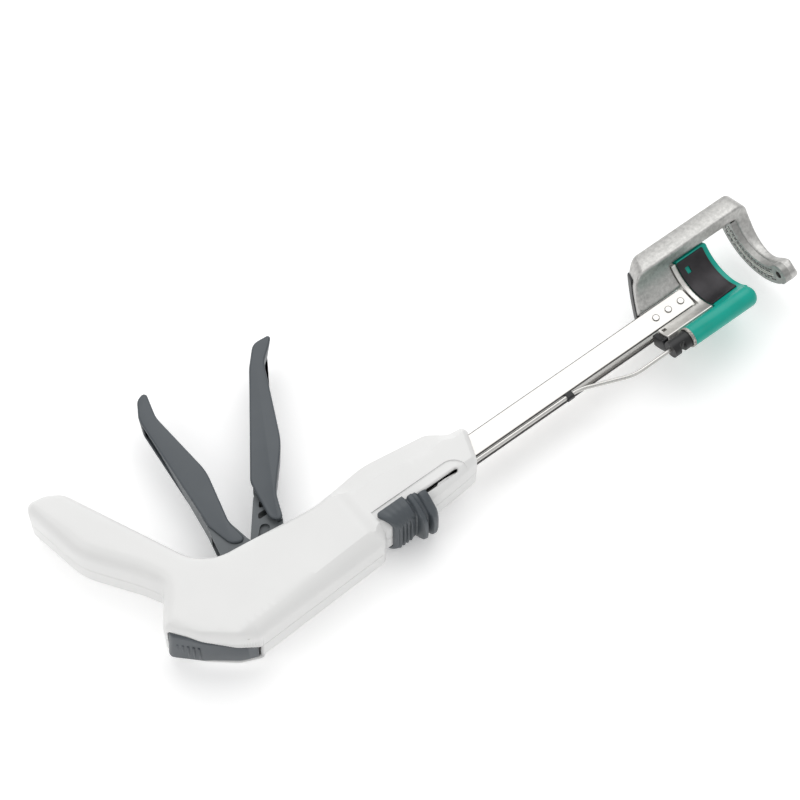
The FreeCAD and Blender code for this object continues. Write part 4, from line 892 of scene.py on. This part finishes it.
def bent_block(outline, inner, outer, edge, warp=None, holes=(), pinch=None):
    """A block bent round the centre line, from its outline in x and degrees, with rolled edges."""
    unrolled = [(x, math.radians(angle) * UNROLLED, radius) for x, angle, radius in outline]
    line = np.array([point[:2] for point in rounded_line(unrolled, 1.5)])
    line = line[np.sqrt(((line - np.roll(line, 1, axis=0)) ** 2).sum(axis=1)) > DOUBLED]
    if signed_area(line) < 0:
        line = line[::-1]
    inwards = inward_ways(line)
    turns = [math.radians(turn) for turn in (90, 60, 30, 0)]
    layers = [(line + inwards * edge * (1 - math.cos(turn)), inner + edge * (1 - math.sin(turn)))
              for turn in turns]
    layers += [(ring, inner + outer - radius) for ring, radius in reversed(layers)]

    def place(x, run, radius):
        """Where a point of the flat outline lies once the block is bent."""
        angle = run / UNROLLED
        if pinch:
            past = clamped((pinch[0] - math.degrees(angle)) / (pinch[0] - pinch[1]))
            middle = (inner + outer) / 2
            radius = middle + (radius - middle) * math.sqrt(max(0.02, 1 - past ** 2))
        y = radius * math.sin(angle)
        return (x + (warp(x, y) if warp else 0.0), y, ARC_Z - radius * math.cos(angle))

    rim = layers[0][0]
    low = rim.min(axis=0)
    high = rim.max(axis=0)
    across, along = BLOCK_PITCH
    grid = np.array([(low[0] + across * (column + 0.5 * (row % 2)), low[1] + along * row)
                     for row in range(int((high[1] - low[1]) / along) + 1)
                     for column in range(int((high[0] - low[0]) / across) + 1)])
    loops = [[(x, math.radians(angle) * UNROLLED) for x, angle in hole] for hole in holes]
    border = np.vstack([rim] + [np.array(loop) for loop in loops])
    grid = grid[inside(grid, rim)]
    grid = grid[((grid[:, None, :] - border[None]) ** 2).sum(axis=2).min(axis=1) > 0.4]
    points = [tuple(point) for point in border] + [tuple(point) for point in grid]
    pairs = [(index, (index + 1) % len(rim)) for index in range(len(rim))]
    first = len(rim)
    for loop in loops:
        pairs += [(first + index, first + (index + 1) % len(loop)) for index in range(len(loop))]
        first += len(loop)
    net = delaunay_2d_cdt([Vector(point) for point in points], pairs, [], 0, 1e-6)
    flat = np.array([tuple(point) for point in net[0]])
    centres = np.array([flat[list(face)].mean(axis=0) for face in net[2]])
    kept = inside(centres, rim)
    for loop in loops:
        kept &= ~inside(centres, loop)
    shape = bmesh.new()
    for radius, flip in ((inner, False), (outer, True)):
        corners = [shape.verts.new(place(x, run, radius)) for x, run in flat]
        for face, in_line in zip(net[2], kept):
            if in_line:
                shape.faces.new([corners[index] for index in (face[::-1] if flip else face)])
    stitch(shape, [[shape.verts.new(place(x, run, radius)) for x, run in ring]
                   for ring, radius in layers])
    for loop in loops:
        stitch(shape, [[shape.verts.new(place(x, run, radius)) for x, run in loop[::-1]]
                       for radius in (inner, outer)])
    bmesh.ops.remove_doubles(shape, verts=shape.verts, dist=1e-3)
    bmesh.ops.delete(shape, geom=[vert for vert in shape.verts if not vert.link_faces], context="VERTS")
    return shape


def rear_slope(x, y):
    """How far the casting's rear edge leans forward away from the shaft."""
    least, full, start, run = REAR_LEAN
    gone, reach = REAR_LEAN_FRONT
    return max(0.0, least + full * (y - start) / run) * clamped((gone - x) / reach) if y > start else 0.0


finish_shape("head_casting", bent_block(FRAME_LINE, *CASTING, rear_slope, pinch=CASTING_PINCH), cast,
             "handle", ["c_frame"])


# ---------------- anvil
# The plate with the rows of staple pockets, pressed and sintered from steel
# powder and seated in the casting. It keeps the CAD's own shape.

# Sintered steel: grey, without a mirror, faintly blotched by its pores.
anvil_steel, tree, shader, here = surface("sintered_anvil_steel", "#9A9A98", Metallic=0.9, Roughness=0.45)
tinted(tree, shader, noise(tree, here, 600.0, 5.0), "#7E7E7C", "#B8B8B5")
paint(["anvil"], anvil_steel)


# ---------------- cartridge
# The exchangeable cartridge: one teal ABS moulding, a block bent on the staple
# line's arc with the tube that runs on the guide pin along its lower side.

CARTRIDGE = (18.3, 27.4, 0.9)  # inner and outer radius, and rolled edge
CARTRIDGE_LINE = [(202.5, -55.0, 1.0), (220.8, -55.0, 1.0), (220.8, 52.0, 1.6), (202.5, 52.0, 1.0)]
TUBE_AXIS = (-19.4, 27.14)  # y and z of the guide pin
# x and radius, round the outside and back along the bore
TUBE_PROFILE = [(182.0, 4.55), (182.0, 4.8), (182.4, 5.0), (200.0, 5.05), (217.2, 5.1), (218.6, 4.8),
                (219.8, 4.0), (220.6, 2.9), (220.8, 1.95), (217.5, 1.95), (217.5, 4.55)]

# Glossy teal ABS: a clear green-blue with a soft highlight along the tube.
teal, tree, shader, here = surface("moulded_teal_abs", "#00A392", Roughness=0.3, IOR=1.53,
                                   Specular_IOR_Level=0.35)
tinted(tree, shader, noise(tree, here, 120.0, 2.0), "#009886", "#02A998")


def turned_ring(shape, profile, axis, count):
    """Adds a closed profile of x and radius, turned round an axis along X."""
    rings = [[shape.verts.new((x, axis[0] + radius * math.cos(2 * math.pi * step / count),
                               axis[1] + radius * math.sin(2 * math.pi * step / count)))
              for step in range(count)] for x, radius in profile]
    stitch(shape, rings + rings[:1])


cartridge = bent_block(CARTRIDGE_LINE, *CARTRIDGE)
turned_ring(cartridge, TUBE_PROFILE, TUBE_AXIS, 48)
finish_shape("cartridge_moulding", cartridge, teal, "closure", ["cartridge_housing"])


# ---------------- staple slots
# The openings in the cartridge's face that let out the staples, in four
# staggered rows, and the knife, between them: not cut, but painted as thin dark bars of shade.

SLOT_DEPTHS = (220.6, 220.88)  # x of the back and front of a bar of painted shade
STAPLES_IN_ROW = 8
ROW_SHIFTS = ((-2.75, 0.0), (-1.55, 0.5), (1.55, 0.5), (2.75, 0.0))  # from the arc, and stagger
STAPLE_ARC = 23.0
SLOT_HALF_LENGTH = 2.0
SLOT_HALF_WIDTH = 0.3
ARC_START, ARC_RUN = -46.0, 92.0  # degrees
KNIFE_STEPS = 24
KNIFE_RADII = (22.65, 23.35)
BAR_SIDES = ((0, 1, 3, 2), (4, 6, 7, 5), (0, 2, 6, 4), (1, 5, 7, 3))
BAR_ENDS = ((0, 4, 5, 1), (2, 3, 7, 6))

# Steel blackened in a hot salt bath: nearly black, satin, slightly cloudy. The liner
# is made of it; on the slots the same dark is painted shade in the openings.
black_steel_and_slot_shade, tree, shader, here = surface("blackened_steel_and_slot_shade", "#2B2A2B", Metallic=0.6, Roughness=0.42)
tinted(tree, shader, noise(tree, here, 150.0, 4.0), "#232224", "#454245")


def slot_shade_bar(shape, turns, radii, sides):
    """Adds a dark bar of painted slot shade in the cartridge's face, between two angles and two radii."""
    corners = [shape.verts.new((x, radius * math.sin(turn), ARC_Z - radius * math.cos(turn)))
               for x in SLOT_DEPTHS for turn in turns for radius in radii]
    for side in sides:
        shape.faces.new([corners[index] for index in side])


slots = bmesh.new()
for offset, stagger in ROW_SHIFTS:
    radius = STAPLE_ARC + offset
    half = SLOT_HALF_LENGTH / radius
    for step in range(STAPLES_IN_ROW):
        turn = math.radians(ARC_START + ARC_RUN / STAPLES_IN_ROW * (step + 0.25 + stagger))
        slot_shade_bar(slots, (turn - half, turn + half), (radius - SLOT_HALF_WIDTH, radius + SLOT_HALF_WIDTH),
              BAR_SIDES + BAR_ENDS)
for step in range(KNIFE_STEPS):
    slot_shade_bar(slots, [math.radians(ARC_START + ARC_RUN * edge / KNIFE_STEPS) for edge in (step, step + 1)],
          KNIFE_RADII, BAR_SIDES)
# the bars take the dark steel colour as painted shade in the openings
finish_shape("staple_slots", slots, black_steel_and_slot_shade, "closure", [])


# ---------------- cartridge liner
# The dark shield along the inside of the arc, bent from blackened sheet and
# clipped to the cartridge, with the window that shows the teal below it.

LINER = (17.55, 18.45, 0.25)
LINER_LINE = [(202.1, -43.0, 0.8), (217.9, -40.0, 0.8), (217.9, 50.0, 0.8), (202.1, 50.2, 0.8)]
LINER_WINDOW = [(205.0, 26.5), (207.4, 26.5), (207.4, 37.5), (205.0, 37.5)]
finish_shape("cartridge_liner", bent_block(LINER_LINE, *LINER, holes=[LINER_WINDOW]), black_steel_and_slot_shade,
             "closure", ["cartridge_shield"])


# ---------------- collar
# The ring between the tube and the couplet, sintered from steel powder and
# pressed on the end of the tube.

COLLAR_PROFILE = [(180.7, 4.5), (180.7, 4.9), (180.9, 5.1), (182.1, 5.1), (182.3, 4.9), (182.3, 4.5)]

# Sintered steel left as pressed: light grains with dark pores, seen as speckles.
speckled, tree, shader, here = surface("sintered_collar_steel", "#8E8C88", Metallic=0.7, Roughness=0.5)
pores = add(tree, "ShaderNodeTexVoronoi", {"Vector": here}, Scale=1500.0)
tinted(tree, shader, pores.outputs["Distance"], "#4A4845", "#DAD8D2")
collar = bmesh.new()
turned_ring(collar, COLLAR_PROFILE, TUBE_AXIS, 40)
finish_shape("collar_ring", collar, speckled, "closure", ["tube_collar"])


# ---------------- carrier wing
# The bright L-shaped carrier that holds the cartridge and slides on the shaft,
# machined from light alloy, with a square hole near its rear end.

CARRIER = (18.4, 26.2, 0.5)
CARRIER_LINE = [(174.6, -43.5, 0.8), (202.0, -43.5, 0.6), (202.0, 50.0, 0.6), (199.3, 50.0, 0.6),
                (199.3, -18.2, 0.6), (174.6, -18.2, 0.8)]
CARRIER_HOLE = [(175.9, -28.5), (178.0, -28.5), (178.0, -22.5), (175.9, -22.5)]

# Machined light alloy: pale and bright, with faint patches left by the bath.
light_metal, tree, shader, here = surface("machined_light_alloy", "#D9D7D3", Metallic=0.8, Roughness=0.36)
tinted(tree, shader, noise(tree, here, 300.0, 5.0), "#C9C7C3", "#EFEDE9")
finish_shape("carrier_wing", bent_block(CARRIER_LINE, *CARRIER, holes=[CARRIER_HOLE]), light_metal,
             "closure", ["cartridge_carrier"])


# ---------------- black fittings
# Small parts of black acetal: the couplet and clip of the rod, which keep the
# CAD's shape, the strip on the casting's rear edge and the carrier's end block.

EDGE_STRIP = (22.6, 29.5, 0.6)
EDGE_STRIP_LINE = [(172.5, 14.0, 0.8), (174.4, 14.0, 0.6), (174.4, 60.0, 0.6), (172.5, 60.0, 0.8)]
END_BLOCK = (19.0, 25.6, 0.6)
END_BLOCK_LINE = [(171.2, -42.5, 0.5), (174.3, -42.5, 0.5), (174.3, -19.0, 0.5), (171.2, -19.0, 0.5)]

# Black acetal: deep black and waxy, with the finest grain from its tool.
black, tree, shader, here = surface("black_acetal", "#17181A", Roughness=0.4, IOR=1.48)
relief(tree, shader, noise(tree, here, 900.0, 2.0), 0.1, 0.00005)
paint(["couplet", "rod_clip"], black)
finish_shape("rear_edge_strip", bent_block(EDGE_STRIP_LINE, *EDGE_STRIP, rear_slope), black,
             "handle", ["edge_strip"])
finish_shape("carrier_end_block", bent_block(END_BLOCK_LINE, *END_BLOCK), black,
             "closure", [])


# ---------------- rivet rings
# Three stainless rivets, peened flush with the plate, each in a shallow ring
# that the punch leaves, whose shade is painted as a fine dark line.

RIVET_COUNT = 3
RIVET_ENDS = (178.8, 193.8)
# radius and height
PUNCHED_RING = ((1.42, 0.0), (1.48, 0.05), (1.66, 0.05), (1.72, 0.0))
RING_STEPS = 24

# Painted shadow in the punched groove: dull dark steel with a little dirt.
groove_shade, tree, shader, here = surface("punched_ring_shadow", "#4A4846", Metallic=0.7, Roughness=0.5)
tinted(tree, shader, noise(tree, here, 900.0, 2.0), "#3A3836", "#6A6764")
ring = bmesh.new()
rims = [[ring.verts.new((radius * math.cos(2 * math.pi * step / RING_STEPS),
                         radius * math.sin(2 * math.pi * step / RING_STEPS), height))
         for step in range(RING_STEPS)] for radius, height in PUNCHED_RING]
stitch(ring, rims + rims[:1])
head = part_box("plate_rivets")[1][2] / MM - 0.02
repeated("rivet_rings", unit_from(ring), RIVET_COUNT, (RIVET_ENDS[0], 0.0, head),
         (RIVET_ENDS[1], 0.0, head), groove_shade, "handle")


# ---------------- cutting strip and driver
# The strip that the knife lands on and the driver behind the staples, both
# moulded in undyed polymer. They keep the CAD's own shape.

# Undyed polymer: milky off-white, matt and very finely grained.
natural, tree, shader, here = surface("natural_polymer_strip", "#D8D8D2", Roughness=0.5, IOR=1.5)
relief(tree, shader, noise(tree, here, 900.0, 2.0), 0.1, 0.00005)
paint(["cutting_strip", "staple_driver"], natural)
